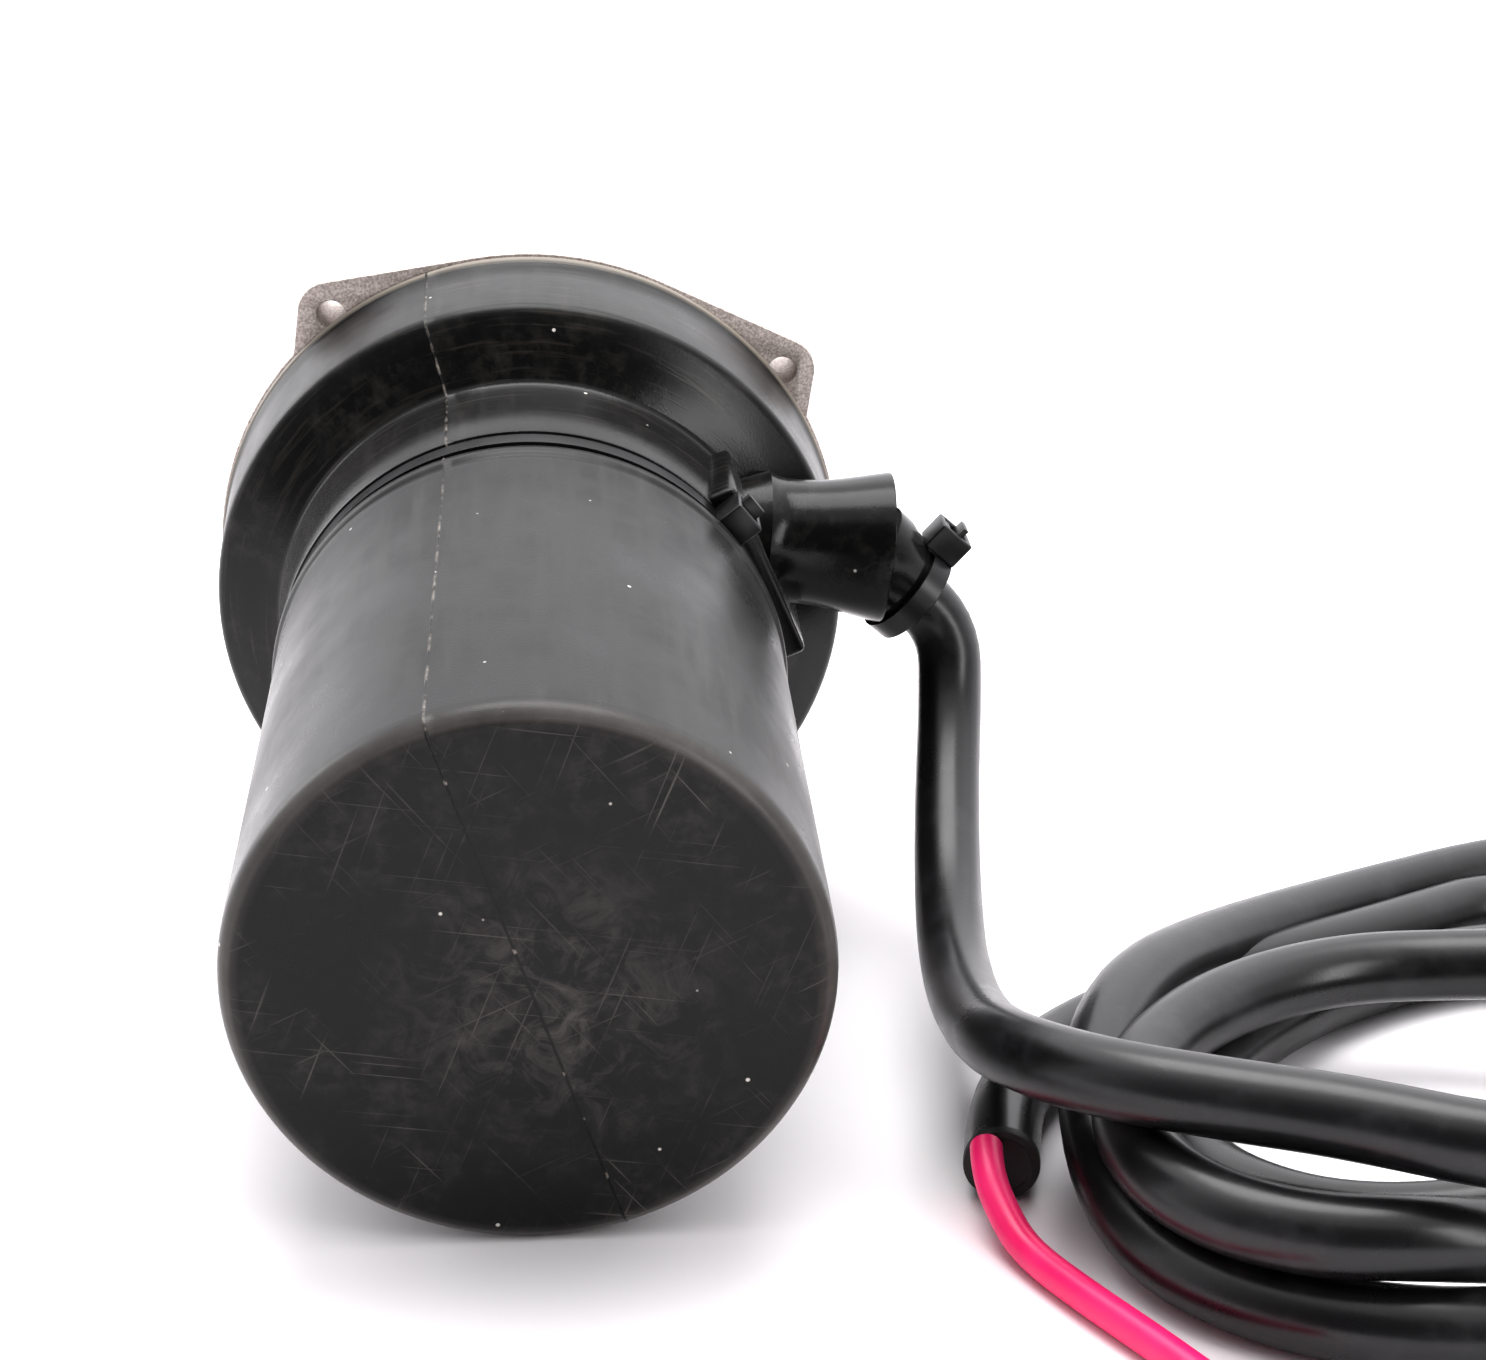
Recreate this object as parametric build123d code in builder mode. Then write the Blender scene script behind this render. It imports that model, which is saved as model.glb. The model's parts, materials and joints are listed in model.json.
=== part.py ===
"""Enclosed brushless outrunner motor in a moulded rubber boot, with its flying lead.

The row frame is the motor as it lies on a level surface: +Z is up and +Y runs along the
shaft towards the output end, raised a little because the wide flange end lies on its rim
and the narrow domed end lies on its edge. The origin is the centre of the mounting plane.

Sizes are in millimetres. A depth is a distance behind the mounting plane, measured along
the shaft axis towards the closed end; negative depths are in front of the mounting plane.
"""

import os
from math import asin, atan2, cos, degrees, hypot, pi, radians, sin, tan

from build123d import *

os.makedirs("parts", exist_ok=True)

# ---------------------------------------------------------------- driving dimensions
# Rubber boot
boot_wall = 3.0
boot_gap = 0.5
boot_dome_radius = 4.0
bead_height = 0.8
bead_width = 4.5
tie_groove_depth = 1.4
tie_groove_width = 8.8
band_near_radius = 53.3
band_far_radius = 54.9
band_length = 24.5
collar_step = 9.0
collar_front_radius = 69.6
collar_rear_radius = 70.8
collar_edge_radius = 1.5
lip_width = 2.5
lip_height = 0.6

# Guard can
can_radius = 50.0
can_wall = 1.5
can_depth = 210.0
can_flange_radius = 66.0
can_screw_count = 6
can_screw_radius = 2.0
can_screw_circle = 58.0
can_screw_head_radius = 3.5
can_screw_head_height = 1.8
can_screw_length = 14.0
can_screw_clearance = 0.2
screw_tip_gap = 2.0
screw_hex_radius = 1.5
screw_hex_depth = 1.2

# Front housing
post_length = 14.5
disc_thickness = 4.5
disc_radius = 71.8
ear_radius = 7.5
mount_circle = 145.4
mount_hole_radius = 3.25
mount_first_angle = 36.3
mount_count = 4
post_radius = 5.75
drum_radius = 66.5
drum_wall = 4.0
drum_depth = 46.0
pilot_radius = 30.0
pilot_length = 3.0
rib_count = 8
rib_first_angle = 22.5
rib_thickness = 4.0
rib_height = 8.0
rib_margin = 6.0
hub_shoulder = 2.0
screw_boss_wall = 3.5
tube_root_wall = 3.0
seal_shoulder = 1.5
tube_wall = 3.0
tube_depth = 165.0

# Bearings, the common 17 x 40 x 12 size
bearing_bore = 17.0
bearing_outside = 40.0
bearing_width = 12.0
ball_diameter = 6.75
ball_count = 8
race_clearance = 0.05
race_land = 3.6
front_bearing_depth = 5.0
rear_bearing_depth = 150.0
seal_width = 7.0
seal_radius = 17.5
seal_clearance = 0.05
cage_width = 8.0
cage_wall = 2.4
clip_thickness = 1.5

# Shaft
output_diameter = 15.0
output_length = 38.0
collar_diameter = 20.0
keyway_width = 5.0
keyway_length = 14.0
keyway_depth = 3.0
keyway_margin = 3.0
shaft_chamfer = 1.0
shaft_end_depth = 196.0
locknut_width = 8.0
locknut_radius = 13.0
locknut_chamfer = 1.0

# Stator and rotor
stack_depth = 95.0
stack_length = 60.0
slot_count = 12
tooth_width = 6.0
slot_opening = 3.0
air_gap = 0.6
yoke_thickness = 5.0
tip_thickness = 2.2
insulator_thickness = 1.0
coil_thickness = 3.6
coil_gap = 0.8
magnet_count = 14
magnet_thickness = 3.2
magnet_share = 0.86
magnet_overhang = 1.0
flux_ring_wall = 4.0
rotor_gap = 2.5
flux_ring_start = 90.0
bell_depth = 170.0
bell_thickness = 8.0
bell_hub_gap = 0.5
hub_clearance = 3.0
hub_boss = 4.0
spoke_count = 6
spoke_width = 12.0

# Lead, strain relief and ties
lead_diameter = 14.0
lead_depth = 63.0
grommet_wall = 1.0
grommet_length = 5.0
grommet_overhang = 1.5
pad_angle = 22.0
pad_front = 4.2
pad_width = 41.0
pad_distance = 55.2
spout_reach = 77.5
spout_height = 16.9
spout_root_radius = 13.0
spout_neck_radius = 14.0
spout_rim_radius = 16.5
spout_droop = 6.0
spout_overlap = 6.0
spout_neck_share = 0.53
spout_rim_wall = 1.0
nipple_radius = 10.2
nipple_length = 11.6
nipple_droop = 42.0
nipple_drop = 4.4
nipple_overlap = 3.0
lead_root_length = 17.6
core_diameter = 6.0
floor_gap = 0.2
wire_diameter = 4.0
wire_gap = 0.5
wire_bend = 4.0
wire_clear_run = 12.0
wire_ends = {"a": 30, "b": 60, "c": -30}
tie_strap_width = 4.8
tie_strap_thickness = 1.2
tie_head_length = 7.5
tie_head_height = 6.0
tie_head_wall = 1.0
tie_head_sink = 0.4
tie_corner_radius = 0.8
strap_gap = 0.1
tie_setback = 0.4
boot_tie_angle = 38.0

# ---------------------------------------------------------------- derived sizes
boot_radius = can_radius + boot_wall
dome_depth = can_depth + boot_wall
disc_rear = post_length + disc_thickness
collar_rear = disc_rear + boot_gap
band_far_depth = lead_depth - pad_front
band_near_depth = band_far_depth + band_length
groove_end = band_near_depth + tie_groove_width
collar_front = band_far_depth - collar_step
bearing_tube_bore = bearing_outside / 2
spacer_bore = bearing_tube_bore - tube_wall
tube_radius = bearing_tube_bore + tube_wall
rotor_radius = can_radius - can_wall - rotor_gap
magnet_outer = rotor_radius - flux_ring_wall
magnet_inner = magnet_outer - magnet_thickness
stator_radius = magnet_inner - air_gap
yoke_radius = tube_radius + yoke_thickness
tip_radius = stator_radius - tip_thickness

# The motor lies on the edge of its disc and on the rounded edge of its dome.
rest_length = dome_depth - boot_dome_radius - (disc_rear - disc_thickness)
rest_drop = disc_radius - (boot_radius - boot_dome_radius)
lie = atan2(rest_drop, rest_length) - asin(boot_dome_radius / hypot(rest_length, rest_drop))
floor_height = -post_length * sin(lie) - disc_radius * cos(lie)

to_dome = Vector(0, -cos(lie), -sin(lie))
axis_plane = Plane(origin=(0, 0, 0), x_dir=(1, 0, 0), z_dir=to_dome)
profile_plane = Plane(origin=(0, 0, 0), x_dir=(1, 0, 0), z_dir=(0, sin(lie), -cos(lie)))
motor_axis = Axis((0, 0, 0), to_dome)


# ---------------------------------------------------------------- helpers
def across(depth):
    """The plane square to the shaft at a depth, x to the right and y upwards."""
    return axis_plane.offset(depth)


def point(x, up, depth):
    """A point given across the shaft axis and along it, in the row frame."""
    return axis_plane.from_local_coords(Vector(x, up, depth))


def tilted(x, up, depth, droop):
    """A plane facing out along +X, turned down by an angle, with its x to the dome."""
    out = point(cos(radians(droop)), -sin(radians(droop)), 0)
    return Plane(origin=point(x, up, depth), x_dir=to_dome, z_dir=out)


def outward(angle, radius, depth):
    """A plane facing out from the shaft axis, with its x to the dome."""
    turn = radians(angle)
    return tilted(radius * cos(turn), radius * sin(turn), depth, -angle)


def keep(piece, name):
    """Labels a finished piece and writes its STEP file."""
    piece.part.label = name
    export_step(piece.part, f"parts/{name}.step")
    return piece


def ring(name, inner_radius, outer_radius, start, end):
    """A plain round ring on the shaft axis."""
    with BuildPart() as piece:
        with BuildSketch(across(start)):
            Circle(outer_radius)
            Circle(inner_radius, mode=Mode.SUBTRACT)
        extrude(amount=end - start)
    return keep(piece, name)


def corner_radii(route):
    """The largest smooth radius at each inner corner of a route of straight runs."""
    radii = []
    for before, corner, after in zip(route, route[1:], route[2:]):
        first, second = Vector(corner) - Vector(before), Vector(after) - Vector(corner)
        half_turn = radians(first.get_angle(second)) / 2
        radii.append(0.45 * min(first.length, second.length) / tan(half_turn))
    return radii


def tube(name, route, diameter, bend=None):
    """A round lead along a route: straight runs joined by tangent arcs."""
    radii = corner_radii(route) if bend is None else [bend] * (len(route) - 2)
    with BuildPart() as piece:
        with BuildLine() as path:
            FilletPolyline(*route, radius=radii)
        start = Plane(origin=path.line @ 0, z_dir=path.line % 0)
        with BuildSketch(start):
            Circle(diameter / 2)
        sweep(path=path.line)
    length = sum(edge.length for edge in path.edges())
    share = piece.part.volume / (pi * diameter**2 / 4 * length)
    radii_text = [round(radius, 1) for radius in radii]
    print(f"{name}: radii {radii_text}, length {length:.1f}, volume share {share:.4f}")
    return keep(piece, name)


# ---------------------------------------------------------------- front housing
seal_front = -pilot_length
seal_rear = seal_front + seal_width
rib_start = pilot_radius - rib_thickness
rib_end = disc_radius - rib_margin

# The ears run tangent to the disc on one side and are cut straight on the other.
ear_step = 360 / mount_count
plate_angle = mount_first_angle + ear_step / 2
ear_reach = mount_circle / 2 * sin(pi / mount_count) + ear_radius
with BuildSketch(Plane.XY) as ears:
    for ear in range(mount_count):
        with BuildSketch(Plane.XY, mode=Mode.PRIVATE) as one_ear:
            Circle(disc_radius)
            with PolarLocations(mount_circle / 2, 1, start_angle=mount_first_angle + ear * ear_step):
                Circle(ear_radius)
            make_hull()
        add(one_ear.sketch)
    with BuildSketch(Plane.XY, mode=Mode.PRIVATE) as slab:
        Rectangle(2 * mount_circle, 2 * ear_reach, rotation=plate_angle)
    add(slab.sketch, mode=Mode.INTERSECT)

with BuildPart() as front_housing:
    with BuildSketch(across(post_length)):
        Circle(disc_radius)
        add(ears.sketch)
    extrude(amount=disc_thickness)
    # Round posts stand forward of the ears and end on the mounting plane.
    with BuildSketch(across(0)):
        with PolarLocations(mount_circle / 2, mount_count, start_angle=mount_first_angle):
            Circle(post_radius)
    extrude(amount=post_length)
    # Pilot hub and the radial ribs that brace it.
    with BuildSketch(across(seal_front)):
        Circle(pilot_radius)
    extrude(amount=post_length - seal_front)
    with BuildSketch(across(post_length - rib_height)):
        Circle(pilot_radius + hub_shoulder)
        with PolarLocations((rib_start + rib_end) / 2, rib_count, start_angle=rib_first_angle):
            Rectangle(rib_end - rib_start, rib_thickness)
    extrude(amount=rib_height)
    # Drum under the rubber collar, with a boss for each can screw.
    with BuildSketch(across(disc_rear)):
        Circle(drum_radius)
        Circle(drum_radius - drum_wall, mode=Mode.SUBTRACT)
        with PolarLocations(can_screw_circle, can_screw_count):
            Circle(can_screw_radius + screw_boss_wall)
    extrude(amount=drum_depth - disc_rear)
    # Bearing tube, with a thicker root that the stator stands against.
    with BuildSketch(across(disc_rear)):
        Circle(tube_radius)
    extrude(amount=tube_depth - disc_rear)
    with BuildSketch(across(disc_rear)):
        Circle(tube_radius + tube_root_wall)
    extrude(amount=stack_depth - disc_rear)
    # Bores: seal seat, shoulder and the long bore for both bearings.
    with BuildSketch(across(seal_front)):
        Circle(seal_radius)
    extrude(amount=seal_rear - seal_front, mode=Mode.SUBTRACT)
    with BuildSketch(across(seal_rear)):
        Circle(seal_radius - seal_shoulder)
    extrude(amount=front_bearing_depth - seal_rear, mode=Mode.SUBTRACT)
    with BuildSketch(across(front_bearing_depth)):
        Circle(bearing_tube_bore)
    extrude(amount=tube_depth - front_bearing_depth, mode=Mode.SUBTRACT)
    with BuildSketch(across(0)):
        with PolarLocations(mount_circle / 2, mount_count, start_angle=mount_first_angle):
            Circle(mount_hole_radius)
    extrude(amount=disc_rear, mode=Mode.SUBTRACT)
    with BuildSketch(across(drum_depth)):
        with PolarLocations(can_screw_circle, can_screw_count):
            Circle(can_screw_radius)
    extrude(amount=-(can_screw_length + screw_tip_gap), mode=Mode.SUBTRACT)
keep(front_housing, "front_housing")

# ---------------------------------------------------------------- guard can and screws
flange_front = drum_depth
flange_rear = flange_front + can_wall

with BuildPart() as guard_can:
    with BuildSketch(across(flange_front)):
        Circle(can_radius)
    extrude(amount=can_depth - flange_front)
    with BuildSketch(across(flange_front)):
        Circle(can_flange_radius)
    extrude(amount=can_wall)
    with BuildSketch(across(flange_front)):
        Circle(can_radius - can_wall)
    extrude(amount=can_depth - can_wall - flange_front, mode=Mode.SUBTRACT)
    with BuildSketch(across(flange_front)):
        with PolarLocations(can_screw_circle, can_screw_count):
            Circle(can_screw_radius + can_screw_clearance)
    extrude(amount=can_wall, mode=Mode.SUBTRACT)
    # The hole that the lead's wires come through.
    with BuildSketch(tilted(0, 0, lead_depth, -pad_angle)):
        Circle(lead_diameter / 2 + grommet_wall)
    extrude(amount=can_radius + can_wall, mode=Mode.SUBTRACT)
keep(guard_can, "guard_can")

with BuildPart() as can_screws:
    with BuildSketch(across(flange_rear)):
        with PolarLocations(can_screw_circle, can_screw_count):
            Circle(can_screw_head_radius)
    extrude(amount=can_screw_head_height)
    with BuildSketch(across(flange_rear)):
        with PolarLocations(can_screw_circle, can_screw_count):
            Circle(can_screw_radius)
    extrude(amount=-can_screw_length)
    with BuildSketch(across(flange_rear + can_screw_head_height)):
        with PolarLocations(can_screw_circle, can_screw_count):
            RegularPolygon(screw_hex_radius, 6)
    extrude(amount=-screw_hex_depth, mode=Mode.SUBTRACT)
keep(can_screws, "can_screws")

# ---------------------------------------------------------------- rubber boot
groove_floor = boot_radius - tie_groove_depth
face_slope = collar_step / (collar_front_radius - band_far_radius)
face_drop = boot_wall * hypot(1, face_slope)
collar_edge_depth = collar_front + face_slope * collar_edge_radius
inner_face_depth = band_far_depth - (can_radius - band_far_radius) * face_slope - face_drop
drum_face_depth = band_far_depth - (drum_radius - band_far_radius) * face_slope - face_drop

nipple_root = (spout_reach - spout_rim_wall, spout_height - nipple_drop)
nipple_mouth = tilted(*nipple_root, lead_depth, nipple_droop).offset(nipple_length)

with BuildPart() as rubber_boot:
    with BuildSketch(profile_plane):
        with BuildLine():
            Line((0, dome_depth), (boot_radius - boot_dome_radius, dome_depth))
            RadiusArc(
                (boot_radius - boot_dome_radius, dome_depth),
                (boot_radius, dome_depth - boot_dome_radius),
                boot_dome_radius,
            )
            Polyline(
                (boot_radius, dome_depth - boot_dome_radius),
                (boot_radius, groove_end + bead_width),
                (boot_radius + bead_height, groove_end + bead_width - bead_height),
                (boot_radius + bead_height, groove_end + bead_height),
                (boot_radius, groove_end),
                (groove_floor, groove_end),
                (groove_floor, band_near_depth),
                (band_near_radius, band_near_depth),
                (band_far_radius, band_far_depth),
                (collar_front_radius - collar_edge_radius, collar_edge_depth),
                (collar_front_radius, collar_front - collar_edge_radius),
                (collar_rear_radius, collar_rear + lip_width),
                (collar_rear_radius + lip_height, collar_rear + lip_width - lip_height),
                (collar_rear_radius + lip_height, collar_rear),
                (0, collar_rear),
                (0, dome_depth),
            )
        make_face()
    revolve(axis=motor_axis)
    # Flat pad at the root of the lead spout.
    with BuildSketch(tilted(0, 0, (band_near_depth + band_far_depth) / 2, -pad_angle)):
        Rectangle(band_length, pad_width)
    extrude(amount=pad_distance)
    # Spout: a tube that flares from the pad to its cut rim.
    spout_start = pad_distance * cos(radians(pad_angle)) - spout_overlap
    spout_mid = spout_start + spout_neck_share * (spout_reach - spout_start)
    spout_start_height = spout_height + (spout_reach - spout_start) * tan(radians(spout_droop))
    spout_mid_height = spout_height + (spout_reach - spout_mid) * tan(radians(spout_droop))
    with BuildSketch(tilted(spout_start, spout_start_height, lead_depth, spout_droop)):
        Circle(spout_root_radius)
    with BuildSketch(tilted(spout_mid, spout_mid_height, lead_depth, spout_droop)):
        Circle(spout_neck_radius)
    with BuildSketch(tilted(spout_reach, spout_height, lead_depth, spout_droop)):
        Circle(spout_rim_radius)
    loft()
    # Nipple: the narrow sleeve that grips the lead, turned down below the rim.
    with BuildSketch(tilted(*nipple_root, lead_depth, nipple_droop)):
        Circle(nipple_radius)
    extrude(amount=nipple_length)
    with BuildSketch(tilted(*nipple_root, lead_depth, nipple_droop)):
        Circle(nipple_radius)
    extrude(amount=-nipple_overlap)
    # Hollow for the can, the drum and the disc's rim.
    with BuildSketch(profile_plane):
        with BuildLine():
            Polyline(
                (0, can_depth),
                (can_radius, can_depth),
                (can_radius, inner_face_depth),
                (drum_radius, drum_face_depth),
                (drum_radius, collar_rear),
                (0, collar_rear),
                close=True,
            )
        make_face()
    revolve(axis=motor_axis, mode=Mode.SUBTRACT)
    # Passage through the pad and the spout, then the bore of the nipple.
    passage_radius = spout_root_radius - boot_wall
    passage_start = can_radius - spout_rim_radius / 2
    passage_height = spout_height + (spout_reach - passage_start) * tan(radians(spout_droop))
    with BuildSketch(tilted(passage_start, passage_height, lead_depth, spout_droop)):
        Circle(passage_radius)
    extrude(amount=spout_reach - passage_start - boot_wall, mode=Mode.SUBTRACT)
    with BuildSketch(nipple_mouth):
        Circle(lead_diameter / 2)
    extrude(amount=-lead_root_length, mode=Mode.SUBTRACT)
keep(rubber_boot, "rubber_boot")

# ---------------------------------------------------------------- bearings, seal and clips
seat_radius = bearing_bore / 2
pitch_radius = (bearing_bore + bearing_outside) / 4
ball_radius = ball_diameter / 2


def bearing(side, start):
    """A deep-groove ball bearing: two grooved rings, the balls and their cage."""
    middle = start + bearing_width / 2
    bore_radius, outer_radius = bearing_bore / 2, bearing_outside / 2
    ring_spans = {
        "inner_ring": (bore_radius, bore_radius + race_land),
        "outer_ring": (outer_radius - race_land, outer_radius),
    }
    for ring_name, (low, high) in ring_spans.items():
        with BuildPart() as race:
            with BuildSketch(profile_plane):
                with Locations(((low + high) / 2, middle)):
                    Rectangle(high - low, bearing_width)
                with Locations((pitch_radius, middle)):
                    Circle(ball_radius + race_clearance, mode=Mode.SUBTRACT)
            revolve(axis=motor_axis)
        keep(race, f"{side}_bearing_{ring_name}")

    with BuildPart() as balls:
        with Locations(across(middle)):
            with PolarLocations(pitch_radius, ball_count):
                Sphere(ball_radius)
    keep(balls, f"{side}_bearing_balls")

    with BuildPart() as cage:
        with BuildSketch(across(middle - cage_width / 2)):
            Circle(pitch_radius + cage_wall / 2)
            Circle(pitch_radius - cage_wall / 2, mode=Mode.SUBTRACT)
        extrude(amount=cage_width)
        for pocket in range(ball_count):
            with BuildSketch(outward(pocket * 360 / ball_count, pitch_radius - cage_wall, middle)):
                Circle(ball_radius + race_clearance)
            extrude(amount=2 * cage_wall, mode=Mode.SUBTRACT)
    keep(cage, f"{side}_bearing_cage")


bearing("front", front_bearing_depth)
bearing("rear", rear_bearing_depth)

spacer_start = front_bearing_depth + bearing_width
ring("bearing_spacer_outer", spacer_bore, bearing_tube_bore, spacer_start, rear_bearing_depth)
ring("bearing_spacer_inner", seat_radius, seat_radius + tube_wall, spacer_start, rear_bearing_depth)
rear_clip_depth = rear_bearing_depth + bearing_width
rear_clip_end = rear_clip_depth + clip_thickness
ring("rear_bearing_clip", spacer_bore, bearing_tube_bore, rear_clip_depth, rear_clip_end)
ring("shaft_seal", collar_diameter / 2 + seal_clearance, seal_radius, seal_front, seal_rear)

# ---------------------------------------------------------------- shaft and bell
shaft_front = seal_front - output_length
output_radius = output_diameter / 2
keyway_floor = output_radius - keyway_depth
keyway_middle = shaft_front + keyway_margin + keyway_length / 2

with BuildPart() as shaft:
    with BuildSketch(profile_plane):
        with BuildLine():
            Polyline(
                (0, shaft_front),
                (output_radius - shaft_chamfer, shaft_front),
                (output_radius, shaft_front + shaft_chamfer),
                (output_radius, seal_front),
                (collar_diameter / 2, seal_front),
                (collar_diameter / 2, front_bearing_depth),
                (seat_radius, front_bearing_depth),
                (seat_radius, shaft_end_depth - shaft_chamfer),
                (seat_radius - shaft_chamfer, shaft_end_depth),
                (0, shaft_end_depth),
                close=True,
            )
        make_face()
    revolve(axis=motor_axis)
    with BuildSketch(outward(90, keyway_floor, keyway_middle)):
        SlotOverall(keyway_length, keyway_width)
    extrude(amount=output_radius, mode=Mode.SUBTRACT)
keep(shaft, "shaft")

bell_rear = bell_depth + bell_thickness
hub_radius = spacer_bore - hub_clearance
spoke_start = hub_radius + hub_boss

with BuildPart() as rotor_bell:
    with BuildSketch(across(rear_clip_depth + bell_hub_gap)):
        Circle(hub_radius)
    extrude(amount=bell_depth - rear_clip_depth - bell_hub_gap)
    with BuildSketch(across(bell_depth)):
        Circle(rotor_radius)
        Circle(magnet_inner, mode=Mode.SUBTRACT)
        Circle(spoke_start)
        with PolarLocations((spoke_start + magnet_inner) / 2, spoke_count):
            Rectangle(magnet_inner - spoke_start + hub_boss, spoke_width)
    extrude(amount=bell_thickness)
    with BuildSketch(across(rear_clip_depth)):
        Circle(seat_radius)
    extrude(amount=bell_rear - rear_clip_depth, mode=Mode.SUBTRACT)
keep(rotor_bell, "rotor_bell")

ring("flux_ring", magnet_outer, rotor_radius, flux_ring_start, bell_depth)

with BuildPart() as magnets:
    magnet_pitch = 2 * pi * magnet_outer / magnet_count
    with BuildSketch(across(stack_depth - magnet_overhang)):
        Circle(magnet_outer)
        Circle(magnet_inner, mode=Mode.SUBTRACT)
        with PolarLocations((magnet_outer + magnet_inner) / 2, magnet_count):
            Rectangle(3 * magnet_thickness, magnet_pitch * (1 - magnet_share), mode=Mode.SUBTRACT)
    extrude(amount=stack_length + 2 * magnet_overhang)
keep(magnets, "magnets")

with BuildPart() as bell_locknut:
    with BuildSketch(across(bell_rear)):
        RegularPolygon(locknut_radius, 6, major_radius=False)
        Circle(seat_radius, mode=Mode.SUBTRACT)
    extrude(amount=locknut_width)
    chamfer(bell_locknut.faces().sort_by(motor_axis)[-1].outer_wire().edges(), locknut_chamfer)
keep(bell_locknut, "bell_locknut")

# ---------------------------------------------------------------- stator
stack_end = stack_depth + stack_length


def tooth_disc(name, start, thickness):
    """A disc of the stator's section: yoke, teeth and tips round the slots."""
    with BuildPart() as disc:
        with BuildSketch(across(start)):
            Circle(stator_radius)
            Circle(tube_radius, mode=Mode.SUBTRACT)
            with BuildSketch(Plane.XY, mode=Mode.PRIVATE) as slots:
                Circle(tip_radius)
                Circle(yoke_radius, mode=Mode.SUBTRACT)
                with PolarLocations((tip_radius + yoke_radius) / 2, slot_count):
                    Rectangle(2 * (tip_radius - yoke_radius), tooth_width, mode=Mode.SUBTRACT)
            add(slots.sketch, mode=Mode.SUBTRACT)
            with PolarLocations(stator_radius, slot_count, start_angle=180 / slot_count):
                Rectangle(4 * tip_thickness, slot_opening, mode=Mode.SUBTRACT)
        extrude(amount=thickness)
    return keep(disc, name)


tooth_disc("stator_core", stack_depth + insulator_thickness, stack_length - 2 * insulator_thickness)
tooth_disc("insulator_front", stack_depth, insulator_thickness)
tooth_disc("insulator_rear", stack_end - insulator_thickness, insulator_thickness)
ring("stator_clip", tube_radius, tube_radius + tube_wall, stack_end, stack_end + clip_thickness)

coil_low = yoke_radius + insulator_thickness
coil_high = tip_radius - coil_gap
coil_middle = stack_depth + stack_length / 2
for phase_number, phase in enumerate("abc"):
    with BuildPart() as coils:
        for tooth in range(slot_count):
            if tooth % 6 // 2 == phase_number:
                with BuildSketch(outward(tooth * 360 / slot_count, coil_low, coil_middle)):
                    Rectangle(stack_length + 2 * coil_thickness, tooth_width + 2 * coil_thickness)
                    Rectangle(stack_length, tooth_width, mode=Mode.SUBTRACT)
                extrude(amount=coil_high - coil_low)
    keep(coils, f"coils_phase_{phase}")

# ---------------------------------------------------------------- lead inside the spout
with BuildPart() as lead_root:
    with BuildSketch(nipple_mouth):
        Circle(lead_diameter / 2)
    extrude(amount=-lead_root_length)
keep(lead_root, "lead_root")

wire_spread = wire_diameter + wire_gap
wire_offsets = {"a": wire_spread, "b": 0.0, "c": -wire_spread}

grommet_start = can_radius - can_wall - grommet_overhang
grommet_end = grommet_start + grommet_length
with BuildPart() as lead_grommet:
    with BuildSketch(outward(pad_angle, grommet_start, lead_depth)):
        Circle(lead_diameter / 2 + grommet_wall)
        with Locations(*[(offset, 0) for offset in wire_offsets.values()]):
            Circle(wire_diameter / 2 + race_clearance, mode=Mode.SUBTRACT)
    extrude(amount=grommet_length)
keep(lead_grommet, "lead_grommet")


def along_nipple(reach, depth):
    """A point on the nipple's middle line, counted from its root, at a depth."""
    droop = radians(nipple_droop)
    return point(nipple_root[0] + reach * cos(droop), nipple_root[1] - reach * sin(droop), depth)


# Each wire leaves the lead square to its end, crosses the grommet and turns to its coils.
root_back = nipple_length - lead_root_length
turn_in = radians(pad_angle)
wire_radius = (coil_low + coil_high) / 2
wire_outside = grommet_end + wire_bend
wire_inside = grommet_start - wire_bend
coil_end = stack_depth - coil_thickness
for phase, offset in wire_offsets.items():
    depth = lead_depth + offset
    end = radians(wire_ends[phase])
    route = [
        along_nipple(root_back, depth),
        along_nipple(root_back - wire_bend, depth),
        point(wire_outside * cos(turn_in), wire_outside * sin(turn_in), depth),
        point(wire_inside * cos(turn_in), wire_inside * sin(turn_in), depth),
        point(wire_radius * cos(end), wire_radius * sin(end), coil_end - wire_clear_run),
        point(wire_radius * cos(end), wire_radius * sin(end), coil_end),
    ]
    tube(f"phase_wire_{phase}", route, wire_diameter, bend=wire_bend)

# ---------------------------------------------------------------- cable ties
strap_start = band_near_depth + strap_gap
strap_radius = groove_floor + tie_strap_thickness
ring("boot_tie_strap", groove_floor, strap_radius, strap_start, strap_start + tie_strap_width)

with BuildPart() as boot_tie_head:
    head_middle = strap_start + tie_head_length / 2
    with BuildSketch(outward(boot_tie_angle, strap_radius - tie_head_sink, head_middle)):
        RectangleRounded(tie_head_length, tie_strap_width + 2 * tie_head_wall, tie_corner_radius)
    extrude(amount=tie_head_height)
    with BuildSketch(across(strap_start - tie_head_wall)):
        Circle(strap_radius)
    extrude(amount=tie_head_length + 2 * tie_head_wall, mode=Mode.SUBTRACT)
keep(boot_tie_head, "boot_tie_head")

tie_plane = nipple_mouth.offset(-tie_strap_width - tie_setback)
with BuildPart() as spout_tie_strap:
    with BuildSketch(tie_plane):
        Circle(nipple_radius + tie_strap_thickness)
        Circle(nipple_radius, mode=Mode.SUBTRACT)
    extrude(amount=tie_strap_width)
keep(spout_tie_strap, "spout_tie_strap")

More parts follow.
